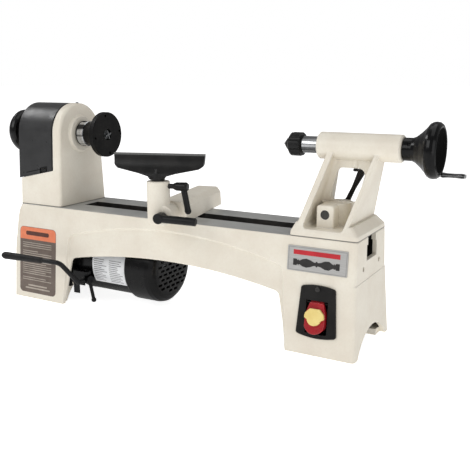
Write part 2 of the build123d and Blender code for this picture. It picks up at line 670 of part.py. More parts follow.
def fan_cover():
    """Pressed cover over the fan, with rows of staggered air slots in its end."""
    left, right = FAN_COVER_LEFT, FAN_COVER_RIGHT
    outer = turned([
        (left, MOTOR_R + 0.8), (left, FAN_COVER_R - 1.5), (left + 3, FAN_COVER_R), (right - 16, FAN_COVER_R),
        (right - 9, FAN_COVER_R - 1.8), (right - 3.5, FAN_COVER_R - 7), (right - 0.8, FAN_COVER_R - 13),
        (right, FAN_COVER_R - 20), (right, 0), (right - 2.4, 0), (right - 2.4, FAN_COVER_R - 21),
        (right - 5.5, FAN_COVER_R - 10), (right - 11, FAN_COVER_R - 4.5), (right - 17, FAN_COVER_R - 2.4),
        (left + 3.5, FAN_COVER_R - 2.4), (left + 3.5, MOTOR_R + 0.8),
    ], MOTOR_Y, MOTOR_Z)
    pitch_y = 15.0
    pitch_z = 8.0
    slots = []
    for row in range(-5, 6):
        shift = pitch_y / 2 if row % 2 else 0.0
        for column in range(-3, 4):
            y = column * pitch_y + shift
            z = row * pitch_z
            if hypot(y, z) < FAN_COVER_R - 18:
                slots.append(span_box((right - 12, right + 1),
                                      (MOTOR_Y + y - 5.2, MOTOR_Y + y + 5.2),
                                      (MOTOR_Z + z - 2.0, MOTOR_Z + z + 2.0)))
    return outer - slots


def motor_fan():
    """Plastic cooling fan on the rear end of the motor shaft."""
    left, right = FAN_X
    hub = rod_x(left, right, 14, MOTOR_Y, MOTOR_Z) + rod_x(left, left + 3, FAN_R, MOTOR_Y, MOTOR_Z)
    for index in range(8):
        blade = span_box((left + 2, right - 3), (-1.2, 1.2), (12, FAN_R))
        hub += Pos(0, MOTOR_Y, MOTOR_Z) * Rot(45 * index, 0, 0) * blade
    return hub - rod_x(left - 1, right + 1, MOTOR_SHAFT_R + RUN, MOTOR_Y, MOTOR_Z)


def motor_rotor():
    """Motor shaft with the rotor core on it."""
    shaft = rod_x(PULLEY_LEFT - 1, FAN_X[1], MOTOR_SHAFT_R, MOTOR_Y, MOTOR_Z)
    return shaft + rod_x(*MOTOR_CORE, 32.4, MOTOR_Y, MOTOR_Z)


def motor_plate():
    """Swing plate between the leg and the motor, with the lever's ear and the lock slot."""
    left, right = -224.0, -216.0
    disc = rod_x(left, right, 50, MOTOR_Y, MOTOR_Z)
    arm = span_box((left, right), (MOTOR_Y, SWING_Y), (SWING_Z - 7.5, SWING_Z + 7.5))
    eye = rod_x(left, -213, 7.5, SWING_Y, SWING_Z)
    ear = span_box((left, right), (-64, MOTOR_Y), (30, 63))
    post = rod_x(right, -208.2, 30, MOTOR_Y, MOTOR_Z)
    plate = disc + arm + eye + ear + post
    plate += span_box((-217, -172), (-64, -58), (57.5, 63))
    plate += span_box((-196, -172), (-69, -63.5), (57.5, 63))
    plate += span_box((-196, -178), (-69, -66.6), (38, 63))
    plate += span_box((-203.4, -191), (-69, -66.6), (22, 63))
    plate -= rod_x(-230, -200, 12, MOTOR_Y, MOTOR_Z)
    plate -= rod_x(-230, -200, SWING_PIN_R + RUN, SWING_Y, SWING_Z)
    return plate - lock_slot()


def lock_slot():
    """Curved slot about the swing pin, so that the plate moves past the lock screw."""
    radius = hypot(LOCK_Y - SWING_Y, LOCK_Z - SWING_Z)
    start = atan2(LOCK_Z - SWING_Z, LOCK_Y - SWING_Y)
    half = LOCK_SCREW_R + 0.6
    slot = rod_x(-230, -200, half, LOCK_Y, LOCK_Z)
    for step in range(1, 13):
        angle = start + radians(step * 9.0 / 12)
        slot += rod_x(-230, -200, half, SWING_Y + radius * cos(angle), SWING_Z + radius * sin(angle))
    return slot


def swing_pin():
    """Pin that the motor plate swings on."""
    return rod_x(-241, -212, SWING_PIN_R, SWING_Y, SWING_Z) + rod_x(-212.7, -209, 8, SWING_Y, SWING_Z)


def tension_lever():
    """Bent round bar that lifts the motor to slacken the belt."""
    points = [(-180, -69, 46), (-180, -82, 46), (-196, -108, 86), (-214, -112, 87.5), (-326, -112, 85)]
    return bent_rod(points, [8, 14, 8], 4.2)


def tension_grip():
    """Tapered plastic grip on the tension lever."""
    grip = revolve(
        make_face(Polyline((0, 4.25), (0, 6.0), (4, 6.7), (90, 5.4), (95, 4.25), close=True)), Axis.X
    )
    cap = revolve(make_face(Polyline((-3, 0), (-3, 4.4), (0, 6.0), (0, 0), close=True)), Axis.X)
    tilt = degrees(atan2(2.5, 112))
    return Pos(-326.2, -112, 85) * Rot(0, -tilt, 0) * (grip + cap)


def lock_lever():
    """Screw with a cranked ball-ended handle that locks the motor plate."""
    screw = rod_x(-240, -182, LOCK_SCREW_R, LOCK_Y, LOCK_Z)
    washer = rod_x(-215.6, -213.6, 9, LOCK_Y, LOCK_Z)
    hub = rod_x(-190, -174, 7.5, LOCK_Y, LOCK_Z)
    tip = (-164, LOCK_Y - 5, 12)
    handle = bent_rod([(-178, LOCK_Y, LOCK_Z), (-172, LOCK_Y - 2, LOCK_Z - 12), tip], [8], 3.1)
    ball = Pos(*tip) * Sphere(4.4)
    return screw + washer + hub + handle + ball


def in_banjo(shape):
    """Places a shape drawn about the post, with v along the arm, at the banjo's angle."""
    return Pos(0, COLUMN_Y, 0) * Rot(0, 0, BANJO_TURN) * shape


def banjo():
    """Banjo casting: post socket in front of the bed and a hollow arm across the ways."""
    low = BED_TOP + 0.15
    section = make_face(Polyline(
        (SLAB_LEFT, low), (SLAB_RIGHT, low), (SLAB_RIGHT - 1.5, SLAB_TOP - 9), (SLAB_RIGHT - 8, SLAB_TOP),
        (SLAB_LEFT + 8, SLAB_TOP), (SLAB_LEFT + 1.5, SLAB_TOP - 9), close=True))
    arm = Pos(0, SLAB_FRONT, 0) * extrude(Plane.XZ * section, -(SLAB_BACK - SLAB_FRONT))
    arm = fillet(arm.edges().filter_by(Axis.Y).group_by(Axis.Z)[-1], 6)
    arm = fillet(arm.edges().group_by(Axis.Y)[-1].sort_by(Axis.Z)[1:], 3.5)
    boss = rod_y(-14, SLAB_FRONT + 14, 16.5, BANJO_SHAFT_U, BANJO_SHAFT_Z + 1)
    boss = fillet(boss.edges().group_by(Axis.Y)[0], 2.5)
    column = rod_z(COLUMN_BOTTOM, COLUMN_TOP, COLUMN_R)
    column = fillet(column.edges().group_by(Axis.Z)[-1], 1.8)
    column = fillet(column.edges().group_by(Axis.Z)[0], 2.5)
    body = arm + boss + column
    under = span_box((-40, 60), (-40, SLAB_FRONT + 16), (100, low + 0.01)) - rod_z(100, 240, COLUMN_R)
    body -= under
    body -= span_box((-5, 31), (34, SLAB_BACK - 12), (low - 1, SLAB_TOP - 7))
    body -= rod_z(POST_BOTTOM - 0.3, COLUMN_TOP + 1, POST_R + RUN)
    body -= rod_y(-20, SLAB_BACK - 5, SHAFT_R + RUN, BANJO_SHAFT_U, BANJO_SHAFT_Z)
    body -= rod_x(5, 30, 4 + RUN, 0, REST_LOCK_Z)
    return in_banjo(body)


def banjo_shaft():
    """Shaft along the arm: its long offset middle pulls the clamp bolt up."""
    front = rod_y(-32.4, 33.5, SHAFT_R, BANJO_SHAFT_U, BANJO_SHAFT_Z)
    cam = rod_y(33, SLAB_BACK - 12.5, CAM_R, BANJO_SHAFT_U, BANJO_SHAFT_Z + CAM_THROW)
    back = rod_y(SLAB_BACK - 12.5, SLAB_BACK - 5.5, SHAFT_R, BANJO_SHAFT_U, BANJO_SHAFT_Z)
    return in_banjo(front + cam + back)


def banjo_lever():
    """Clamp lever on the front end of the shaft, pointing right."""
    hub = rod_y(-34.5, -18, 8.3, BANJO_SHAFT_U, BANJO_SHAFT_Z)
    hub = fillet(hub.edges().filter_by(GeomType.CIRCLE), 1.5)
    bar = Pos(BANJO_SHAFT_U + 31, -27.5, BANJO_SHAFT_Z - 1.5) * Rot(0, 92, 0) * Cylinder(6.3, 59)
    bar = fillet(bar.edges().filter_by(GeomType.CIRCLE), 1.2)
    return in_banjo(hub + bar - rod_y(-32.5, 0, SHAFT_R + RUN, BANJO_SHAFT_U, BANJO_SHAFT_Z))


def clamp_bolt(x, shaft_z):
    """Eye bolt that hangs on a clamp shaft and passes down between the ways."""
    eye = rod_y(-7, 7, EYE_R, x, shaft_z)
    shank = rod_z(WAY_BOTTOM - 16, shaft_z - EYE_BORE_R - 0.5, 4.8, x, 0)
    nut = Pos(x, 0, WAY_BOTTOM - 13.9) * extrude(RegularPolygon(8.5, 6), 5.5)
    hole = rod_y(-8, 8, EYE_BORE_R, x, shaft_z)
    return eye + shank + nut - hole


def clamp_plate(x):
    """Plate under the ways that the clamp bolt draws up, with a key in the slot."""
    top = WAY_BOTTOM - 0.25
    plate = span_box((x - 17, x + 17), (-33, 33), (top - 7.9, top))
    key = span_box((x - 15, x + 15), (-SLOT_HALF + 0.5, SLOT_HALF - 0.5), (top, top + 5))
    return plate + key - rod_z(100, 200, 4.8 + RUN, x, 0)


def banjo_bolt_x():
    """X of the clamp bolt where the banjo's shaft crosses the middle of the bed."""
    turn = radians(BANJO_TURN)
    v = (-COLUMN_Y - BANJO_SHAFT_U * sin(turn)) / cos(turn)
    return BANJO_SHAFT_U * cos(turn) - v * sin(turn)


def banjo_bolt():
    """Clamp bolt of the banjo, turned to the arm's angle."""
    x = banjo_bolt_x()
    return Pos(x, 0, 0) * Rot(0, 0, BANJO_TURN) * clamp_bolt(0, BANJO_SHAFT_Z)


def rest_post():
    """Steel post of the tool rest."""
    return rod_z(POST_BOTTOM, COLUMN_TOP + 7, POST_R, 0, COLUMN_Y)


def rest_head():
    """Cast tool rest: hub, webs and a blade with a hollow face and a flat top edge."""
    section = make_face([
        Spline((13.5, REST_TOP), (12.5, REST_TOP - 12), (7.5, REST_TOP - 24), (0, REST_TOP - 34),
               (-4, REST_TOP - 41)),
        Line((-4, REST_TOP - 41), (-9.5, REST_TOP - 38)),
        Spline((-9.5, REST_TOP - 38), (-6.5, REST_TOP - 29), (0.5, REST_TOP - 20), (4.5, REST_TOP - 11),
               (5.5, REST_TOP - 3.2)),
        Line((5.5, REST_TOP - 3.2), (9.0, REST_TOP)),
        Line((9.0, REST_TOP), (13.5, REST_TOP)),
    ])
    blade = extrude(Plane.YZ * section, REST_HALF_LENGTH, both=True)
    half = REST_HALF_LENGTH
    outline = make_face(Polyline(
        (-half, REST_TOP + 1), (half, REST_TOP + 1), (half - 1.5, REST_TOP - 18), (half - 8, REST_TOP - 23),
        (30, REST_TOP - 30), (14, REST_TOP - 34.5), (10.5, REST_TOP - 40), (-10.5, REST_TOP - 40),
        (-14, REST_TOP - 34.5), (-30, REST_TOP - 30), (-half + 8, REST_TOP - 23),
        (-half + 1.5, REST_TOP - 18), close=True))
    corners = [v for v in outline.vertices() if abs(v.X) > half - 9 and v.Y < REST_TOP - 10]
    outline = fillet(corners, 7)
    blade &= extrude(Plane.XZ * outline, 40, both=True)
    hub = rod_z(COLUMN_TOP + 0.4, REST_TOP - 30, 10.5)
    hub += Pos(0, 0, REST_TOP - 30) * Cone(10.5, 5.0, 14)
    head = blade + hub - rod_z(COLUMN_TOP - 2, COLUMN_TOP + 7.1, POST_R + RUN)
    return Pos(0, COLUMN_Y, 0) * Rot(0, 0, REST_TURN) * head


def rest_lock():
    """Ratchet handle that locks the tool rest's post."""
    screw = rod_x(POST_R + 0.3, 30, 4, 0, REST_LOCK_Z)
    hub = turned([(27, 0), (27, 5.0), (31, 6.6), (47, 7.2), (50, 5.5), (50, 0)], 0, REST_LOCK_Z)
    arm = bent_rod([(42, 0, REST_LOCK_Z), (45, 0, REST_LOCK_Z - 14), (49.5, 0, REST_LOCK_Z - 38)], [12], 4.8)
    tip = Pos(49.5, 0, REST_LOCK_Z - 38) * Sphere(5.3)
    return in_banjo(screw + hub + arm + tip)


def leaned_box(x, y, z):
    """Box whose x limits, given at RIB_LOW_Z, lean to the right with height."""
    outline = []
    for height, ends in ((z[0], x), (z[1], (x[1], x[0]))):
        shift = TAIL_LEAN * (height - RIB_LOW_Z)
        outline += [(ends[0] + shift, height), (ends[1] + shift, height)]
    face = make_face(Polyline(*outline, close=True))
    return Pos(0, y[0], 0) * extrude(Plane.XZ * face, -(y[1] - y[0]))


def eased_pocket(left, right):
    """Front pocket between the tailstock's ribs, with its inner corners rounded."""
    pocket = leaned_box((left, right), (-80, -WEB_HALF), (TAIL_FLOOR, 330))
    web = pocket.faces().sort_by(Axis.Y)[-1]
    floor = pocket.faces().sort_by(Axis.Z)[0]
    inner = [edge for edge in pocket.edges() if edge in web.edges() or edge in floor.edges()]
    inner = [edge for edge in inner if edge.center().Y > -79 and edge.center().Z < 320]
    return fillet(inner, POCKET_R)


def rib_wedge():
    """Front-to-back outline of the tailstock's ribs, narrowing up to the barrel."""
    outline = make_face(Polyline(
        (-63, BED_TOP), (63, BED_TOP), (63, RIB_LOW_Z - 6), (57, RIB_LOW_Z + 5), (18, SPINDLE_Z - 8),
        (-18, SPINDLE_Z - 8), (-62, RIB_LOW_Z - 8), close=True))
    return Pos(200, 0, 0) * extrude(Plane.YZ * outline, 170)


def tailstock():
    """Tailstock casting: base with a key, two leaning ribs, a web with a window, and the barrel."""
    low = BED_TOP + 0.15
    base = loft([
        Pos(269.5, 0, low) * RectangleRounded(105, 130, 5),
        Pos(269.5, 0, TAIL_FLOOR - 4) * RectangleRounded(104, 128, 5),
        Pos(266.5, 0, RIB_LOW_Z + 2) * RectangleRounded(88, 114, 5),
    ], ruled=True)
    left, right = 226.0, 305.0
    inner_left, inner_right = left + LEFT_RIB, right - RIGHT_RIB
    pocket = eased_pocket(inner_left, inner_right)
    rear_pocket = mirror(pocket, Plane.XZ)
    frame = leaned_box((left, right), (-64, 64), (RIB_LOW_Z - 2, SPINDLE_Z))
    frame &= rib_wedge()
    ridges = [edge for edge in frame.edges() if abs((edge % 0.5).X) > 0.1 and abs((edge % 0.5).Z) > 0.3]
    frame = fillet(ridges, RIB_EDGE_R)
    body = base + frame - pocket - rear_pocket
    window = leaned_box((inner_left + 9.5, inner_right - 9.5), (-20, 20), (219, 269))
    window = fillet(window.edges().filter_by(Axis.Y), 9)
    body -= window
    block_top = TAIL_SHAFT_Z + 14
    block = span_box((TAIL_SHAFT_X - 13.5, TAIL_SHAFT_X + 13.5), (-42, 0), (TAIL_FLOOR - 1, block_top))
    block = fillet(block.edges().filter_by(Axis.Y).group_by(Axis.Z)[-1], 5)
    front = block.faces().sort_by(Axis.Y)[0]
    block = fillet([edge for edge in front.edges() if edge.center().Z > TAIL_FLOOR], 2.5)
    body += block
    body += rod_z(TAIL_FLOOR - 1, block_top, 23, TAIL_SHAFT_X + 3, 0)
    body += span_box((TAIL_SHAFT_X - 11, TAIL_SHAFT_X + 11), (0, 30), (TAIL_FLOOR - 1, TAIL_SHAFT_Z + 11))
    barrel = rod_x(BARREL_LEFT, BARREL_RIGHT, BARREL_R)
    barrel = chamfer(barrel.edges().filter_by(GeomType.CIRCLE), 2.2)
    body += barrel
    body += rod_z(271, SPINDLE_Z - 10, 5.5, KEY_SCREW_X, 0)
    body += rod_y(0, BARREL_R + 4, 7, QUILL_LOCK_X, SPINDLE_Z)
    key_half = SLOT_HALF - 0.5
    body += span_box((TAIL_LEFT + 2, TAIL_RIGHT - 16), (-key_half, key_half), (BED_TOP - 6, low + 1))
    body -= span_box((TAIL_LEFT + 8, TAIL_RIGHT - 8), (-55, -24), (low - 1, TAIL_FLOOR - 6))
    body -= span_box((TAIL_LEFT + 8, TAIL_RIGHT - 8), (24, 55), (low - 1, TAIL_FLOOR - 6))
    body -= rod_z(100, TAIL_SHAFT_Z - 1.5, EYE_R + 1.1, TAIL_SHAFT_X, 0)
    body -= rod_y(-8, 8, EYE_R + 0.6, TAIL_SHAFT_X, TAIL_SHAFT_Z)
    body -= rod_y(-43, 80, SHAFT_R + RUN, TAIL_SHAFT_X, TAIL_SHAFT_Z)
    body -= rod_x(BARREL_LEFT - 1, 346, QUILL_R + RUN)
    body -= rod_x(340, BARREL_RIGHT + 1, LEAD_SCREW_R + 2 + RUN)
    body -= rod_z(260, SPINDLE_Z, SET_SCREW_R + RUN, KEY_SCREW_X, 0)
    body -= rod_y(8, BARREL_R + 5, 3 + RUN, QUILL_LOCK_X, SPINDLE_Z)
    return body


def tail_shaft():
    """Clamp shaft across the tailstock, with the offset middle that the clamp bolt hangs on."""
    front = rod_y(-41, -8.6, SHAFT_R, TAIL_SHAFT_X, TAIL_SHAFT_Z)
    cam = rod_y(-9, 9, CAM_R, TAIL_SHAFT_X, TAIL_SHAFT_Z + CAM_THROW)
    back = rod_y(8.6, 46, SHAFT_R, TAIL_SHAFT_X, TAIL_SHAFT_Z)
    return front + cam + back


def tail_lever():
    """Clamp lever behind the tailstock: hub, neck and a spindle-shaped grip."""
    hub = rod_y(31, 47.5, 11, TAIL_SHAFT_X, TAIL_SHAFT_Z)
    hub -= rod_y(30, 46.1, SHAFT_R + RUN, TAIL_SHAFT_X, TAIL_SHAFT_Z)
    half = [(0, 0), (0, 4.2), (22, 3.6), (32, 4.2), (48, 5.6), (60, 5.5), (74, 4.3), (77, 2.6), (78, 0)]
    grip = revolve(make_face(Polyline(*[(4 + a, r) for a, r in half], close=True)), Axis.X)
    arm = Pos(TAIL_SHAFT_X, 40, TAIL_SHAFT_Z) * Rot(0, -65.5, 0) * Pos(5, 0, 0) * grip
    return hub + (arm - rod_y(20, 70, 9.5, TAIL_SHAFT_X, TAIL_SHAFT_Z))


def quill():
    """Hollow ground quill with a taper socket in front, a thread behind and a keyway below."""
    body = rod_x(QUILL_FRONT + 0.6, QUILL_BACK, QUILL_R)
    body = chamfer(body.edges().filter_by(GeomType.CIRCLE), 0.8)
    body -= rod_x(270, QUILL_BACK + 1, LEAD_SCREW_R + RUN)
    body -= turned([(200, 0), (200, 9.05), (QUILL_FRONT + 0.6, 9.0), (273, 7.3), (273, 0)])
    return body - span_box((240, 326), (-2.6, 2.6), (SPINDLE_Z - QUILL_R - 1, SPINDLE_Z - QUILL_R + 2.6))


def live_centre_body():
    """Fixed part of the live centre: shank and lobed bearing housing."""
    shank = turned([(QUILL_FRONT, 0), (QUILL_FRONT, 8.95), (268, 7.25), (268, 0)])
    housing = turned([
        (187.5, 0), (187.5, 13.0), (190.5, CENTRE_R - 0.8), (191.5, CENTRE_R), (206.5, CENTRE_R),
        (208, CENTRE_R - 1.0), (208, 13.5), (QUILL_FRONT, 13.5), (QUILL_FRONT, 0),
    ])
    for index in range(6):
        angle = radians(30 + 60 * index)
        reach = CENTRE_R + 4.0
        housing -= rod_x(180, 208.2, 6, reach * cos(angle), SPINDLE_Z + reach * sin(angle))
    bore = rod_x(180, 204, 6 + RUN) + rod_x(180, 191, 10.2)
    return shank + housing - bore


def live_centre_tip():
    """Turning cone of the live centre."""
    return turned([
        (203.5, 0), (203.5, 6.0), (190.6, 6.0), (190.6, 10.0), (186.8, 10.0), (185.5, 8.8), (183.5, 8.6),
        (176.5, 0),
    ])


def lead_screw():
    """Quill screw with its thrust collar."""
    body = rod_x(292, 383, LEAD_SCREW_R) + rod_x(347, 362, LEAD_SCREW_R + 2)
    for index in range(24):
        x = 293.0 + SCREW_LEAD * index
        groove = rod_x(x, x + 0.8, LEAD_SCREW_R + 1) - rod_x(x - 1, x + 2, LEAD_SCREW_R - 0.8)
        body -= groove
    return body


def tail_wheel():
    """Tailstock handwheel: hub, flared dish and a thick round rim."""
    outline = [
        (362.5, LEAD_SCREW_R + RUN), (362.5, 15.2), (363.5, 16.2), (375, 16.4), (380, 18.6), (388, 25.2),
        (395.0, 32.4), (398.5, 37.0), (402, 39.0), (406, TAIL_WHEEL_R), (410, 38.8), (413, 36.6),
        (414.2, 33.8), (413.4, 31.0), (409, 28.8), (404, 25.0), (399.5, 19.0), (397, 12.0),
        (396.5, LEAD_SCREW_R + RUN),
    ]
    wheel = turned(outline)
    wheel -= Pos(HUB_SCREW_X, 0, SPINDLE_Z) * Rot(60, 0, 0) * Pos(0, 0, 11) * Cylinder(2.6, 14)
    return wheel - rod_x(398, 420, 3.0 + RUN, 0, SPINDLE_Z - HANDLE_OFFSET)


def tail_wheel_screw():
    """Set screw of the tailstock's handwheel."""
    return Pos(HUB_SCREW_X, 0, SPINDLE_Z) * Rot(60, 0, 0) * Pos(0, 0, 10.6) * Cylinder(2.5, 8)


def head_wheel_screw():
    """Set screw of the left handwheel."""
    return Pos(HEAD_WHEEL_SCREW_X, 0, SPINDLE_Z + 11.4) * Cylinder(2.4, 5)


def handle_pin():
    """Shouldered pin in the rim that the handle turns on."""
    z = SPINDLE_Z - HANDLE_OFFSET
    return rod_x(402, 416, 3.0, 0, z) + rod_x(415, 447, 1.8, 0, z) + rod_x(447, 449, 2.9, 0, z)


def handle():
    """Turned sleeve on the handle pin."""
    z = SPINDLE_Z - HANDLE_OFFSET
    return turned([
        (416.3, 1.8 + RUN), (416.3, 3.6), (418, 3.9), (426, 3.1), (436, 3.2), (444, 3.7), (446.6, 3.4),
        (446.6, 1.8 + RUN),
    ], 0, z)


def key_screw():
    """Dog-point screw below the barrel that runs in the quill's keyway."""
    shank = rod_z(268, SPINDLE_Z - QUILL_R + 1.8, SET_SCREW_R, KEY_SCREW_X, 0)
    return shank + rod_z(264.6, 268, 4.0, KEY_SCREW_X, 0)


def quill_lock():
    """Small lever behind the barrel that locks the quill."""
    screw = rod_y(QUILL_R + 0.4, BARREL_R + 12, 3, QUILL_LOCK_X, SPINDLE_Z)
    hub = rod_y(BARREL_R + 5, BARREL_R + 17, 6.5, QUILL_LOCK_X, SPINDLE_Z)
    arm = bent_rod([(QUILL_LOCK_X, BARREL_R + 11, SPINDLE_Z), (282, BARREL_R + 14, SPINDLE_Z - 2),
                    (305, BARREL_R + 18, SPINDLE_Z - 5)], [14], 3.8)
    tip = Pos(305, BARREL_R + 18, SPINDLE_Z - 5) * Sphere(5.0)
    return screw + hub + arm + tip


def switch_plate():
    """Moulded plate of the switch, with bowed top and bottom edges."""
    half_top, half_bottom = 26.5, 31.5
    height = SWITCH_TOP_Z - SWITCH_BOTTOM_Z
    shoulder = height / 2 - 3.5
    outline = make_face([
        ThreePointArc((-half_top, shoulder), (0, height / 2), (half_top, shoulder)),
        Line((half_top, shoulder), (half_bottom, -shoulder)),
        ThreePointArc((half_bottom, -shoulder), (0, -height / 2 - 1), (-half_bottom, -shoulder)),
        Line((-half_bottom, -shoulder), (-half_top, shoulder)),
    ])
    outline = fillet(outline.vertices(), 4)
    plate = extrude(outline, 3.4)
    plate = fillet(plate.faces().sort_by(Axis.Z)[-1].edges(), 1.4)
    plate -= Pos(0, OPENING_Y, 0) * Box(OPENING_WIDTH, OPENING_HEIGHT, 20)
    plate -= Pos(0, SWITCH_SCREW_Y, 2) * Cylinder(2.2 + RUN, 10)
    return on_front(plate, SWITCH_X, SWITCH_MIDDLE_Z, PLATE_STAND_OFF)


def switch_box():
    """Switch body behind the plate, inside the leg."""
    shell = Pos(0, OPENING_Y, -15.1) * Box(OPENING_WIDTH + 3.6, OPENING_HEIGHT + 3.6, 30)
    shell -= Pos(0, OPENING_Y, -6) * Box(OPENING_WIDTH, OPENING_HEIGHT, 20)
    shell += Pos(0, PADDLE_HINGE_Y, -1.5) * Rot(0, 90, 0) * Cylinder(1.5, OPENING_WIDTH + 2)
    return on_front(shell, SWITCH_X, SWITCH_MIDDLE_Z, PLATE_STAND_OFF)


def on_paddle(shape):
    """Places a shape drawn flat on XY on the paddle's sloping face, at the key."""
    return Pos(0, KEY_Y, KEY_SEAT) * Rot(-PADDLE_SLOPE, 0, 0) * shape


def switch_paddle():
    """Red wedge-shaped paddle, hinged at its top inside the switch body."""
    outline = make_face([
        Polyline((-15.4, -20), (-15.4, -3), (-10.5, 14), (10.5, 14), (15.4, -3), (15.4, -20)),
        ThreePointArc((15.4, -20), (0, -31.5), (-15.4, -20)),
    ])
    outline = fillet(outline.vertices(), 2.4)
    paddle = extrude(outline, 20)
    paddle &= on_paddle(Pos(0, 0, -20) * Box(60, 120, 40))
    paddle = fillet(paddle.faces().sort_by(Axis.Z)[-1].edges(), 1.4)
    paddle -= on_paddle(Box(17, 14, 9))
    paddle += Pos(0, PADDLE_HINGE_Y, -1.5) * Rot(0, 90, 0) * Cylinder(3.6, 19)
    paddle += Pos(0, PADDLE_HINGE_Y, 1.0) * Box(19, 3, 4)
    paddle -= Pos(0, PADDLE_HINGE_Y, -1.5) * Rot(0, 90, 0) * Cylinder(1.5 + RUN, 40)
    return on_front(paddle, SWITCH_X, SWITCH_MIDDLE_Z, PLATE_STAND_OFF)


def switch_key():
    """Removable yellow key in the paddle, with a shield-shaped grip."""
    wings = make_face(Polyline(
        (-7.5, 12), (7.5, 12), (14.2, 5), (15.2, -1.5), (11, -4), (-11, -4), (-15.2, -1.5), (-14.2, 5),
        close=True))
    wings = fillet(wings.vertices(), 2.2)
    grip = Pos(0, 0, 0.3) * extrude(wings + Pos(0, -2) * Circle(10.6), 4.2)
    grip = fillet(grip.faces().sort_by(Axis.Z)[-1].edges(), 0.8)
    blade = Pos(0, 0, -1.7) * Box(14, 11, 4.2)
    return on_front(on_paddle(grip + blade), SWITCH_X, SWITCH_MIDDLE_Z, PLATE_STAND_OFF)


def switch_screw():
    """Pan-head screw of the switch plate."""
    head = Pos(0, SWITCH_SCREW_Y, 4.4) * Cylinder(3.6, 1.8)
    shank = Pos(0, SWITCH_SCREW_Y, 0) * Cylinder(2.2, 9)
    slot = Pos(0, SWITCH_SCREW_Y, 5.2) * Box(5.4, 0.9, 1.2)
    return on_front(head + shank - slot, SWITCH_X, SWITCH_MIDDLE_Z, PLATE_STAND_OFF)


def badge():
    """Thin metal plate on the front of the right leg."""
    return on_front(extrude(RectangleRounded(93, 37, 1.5), 1.0), BADGE_X, BADGE_Z, PLATE_STAND_OFF)


PARTS = {
    "bed": bed,
    "headstock": headstock,
    "headstock_screws": headstock_screws,
    "belt_cover": belt_cover,
    "cover_hinge_pin": lambda: rod_x(-323.5, -251.5, COVER_PIN_R, COVER_HINGE_Y, COVER_HINGE_Z),
    "cover_latch": cover_latch,
    "leg_door": leg_door,
    "door_hinge_pin": door_pin,
    "door_knob": door_knob,
    "spindle": spindle,
    "front_bearing": lambda: bearing(*FRONT_BEARING_X, JOURNAL_R, FRONT_BEARING_R),
    "rear_bearing": lambda: bearing(*REAR_BEARING_X, REAR_JOURNAL_R, REAR_BEARING_R),
    "spindle_pulley": spindle_pulley,
    "motor_pulley": motor_pulley,
    "drive_belt": drive_belt,
    "faceplate": faceplate,
    "spur_centre": spur_centre,
    "head_wheel": head_wheel,
    "head_wheel_screw": head_wheel_screw,
    "motor_body": motor_body,
    "motor_stator": motor_stator,
    "motor_front_bell": motor_front_bell,
    "motor_rear_bell": motor_rear_bell,
    "fan_cover": fan_cover,
    "motor_fan": motor_fan,
    "motor_rotor": motor_rotor,
    "motor_plate": motor_plate,
    "swing_pin": swing_pin,
    "tension_lever": tension_lever,
    "tension_grip": tension_grip,
    "motor_lock_lever": lock_lever,
    "banjo": banjo,
    "banjo_shaft": banjo_shaft,
    "banjo_lever": banjo_lever,
    "banjo_bolt": banjo_bolt,
    "banjo_clamp_plate": lambda: clamp_plate(banjo_bolt_x()),
    "rest_post": rest_post,
    "rest_head": rest_head,
    "rest_lock_lever": rest_lock,
    "tailstock": tailstock,
    "tail_shaft": tail_shaft,
    "tail_lever": tail_lever,
    "tail_bolt": lambda: clamp_bolt(TAIL_SHAFT_X, TAIL_SHAFT_Z),
    "tail_clamp_plate": lambda: clamp_plate(TAIL_SHAFT_X),
    "quill": quill,
    "live_centre_body": live_centre_body,
    "live_centre_tip": live_centre_tip,
    "lead_screw": lead_screw,
    "tail_wheel": tail_wheel,
    "tail_wheel_screw": tail_wheel_screw,
    "handle_pin": handle_pin,
    "handle": handle,
    "quill_key_screw": key_screw,
    "quill_lock_lever": quill_lock,
    "switch_plate": switch_plate,
    "switch_box": switch_box,
    "switch_paddle": switch_paddle,
    "switch_key": switch_key,
    "switch_screw": switch_screw,
    "badge": badge,
}

os.makedirs("parts", exist_ok=True)
for node, make in PARTS.items():
    export_step(make(), f"parts/{node}.step")
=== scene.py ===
import math
import random

import bmesh
import bpy
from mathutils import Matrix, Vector


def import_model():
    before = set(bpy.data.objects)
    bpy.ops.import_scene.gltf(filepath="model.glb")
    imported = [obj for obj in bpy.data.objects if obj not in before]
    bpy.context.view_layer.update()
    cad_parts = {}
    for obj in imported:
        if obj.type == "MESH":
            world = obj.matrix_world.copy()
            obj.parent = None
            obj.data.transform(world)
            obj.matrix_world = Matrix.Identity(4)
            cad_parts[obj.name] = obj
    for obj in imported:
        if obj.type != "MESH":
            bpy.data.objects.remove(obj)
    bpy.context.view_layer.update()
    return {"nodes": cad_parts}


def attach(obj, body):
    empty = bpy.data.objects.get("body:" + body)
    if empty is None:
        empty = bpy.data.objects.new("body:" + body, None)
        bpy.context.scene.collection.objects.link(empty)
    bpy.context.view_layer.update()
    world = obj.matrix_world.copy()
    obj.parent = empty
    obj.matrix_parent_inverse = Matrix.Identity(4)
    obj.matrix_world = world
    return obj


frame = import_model()
NODES = frame["nodes"]

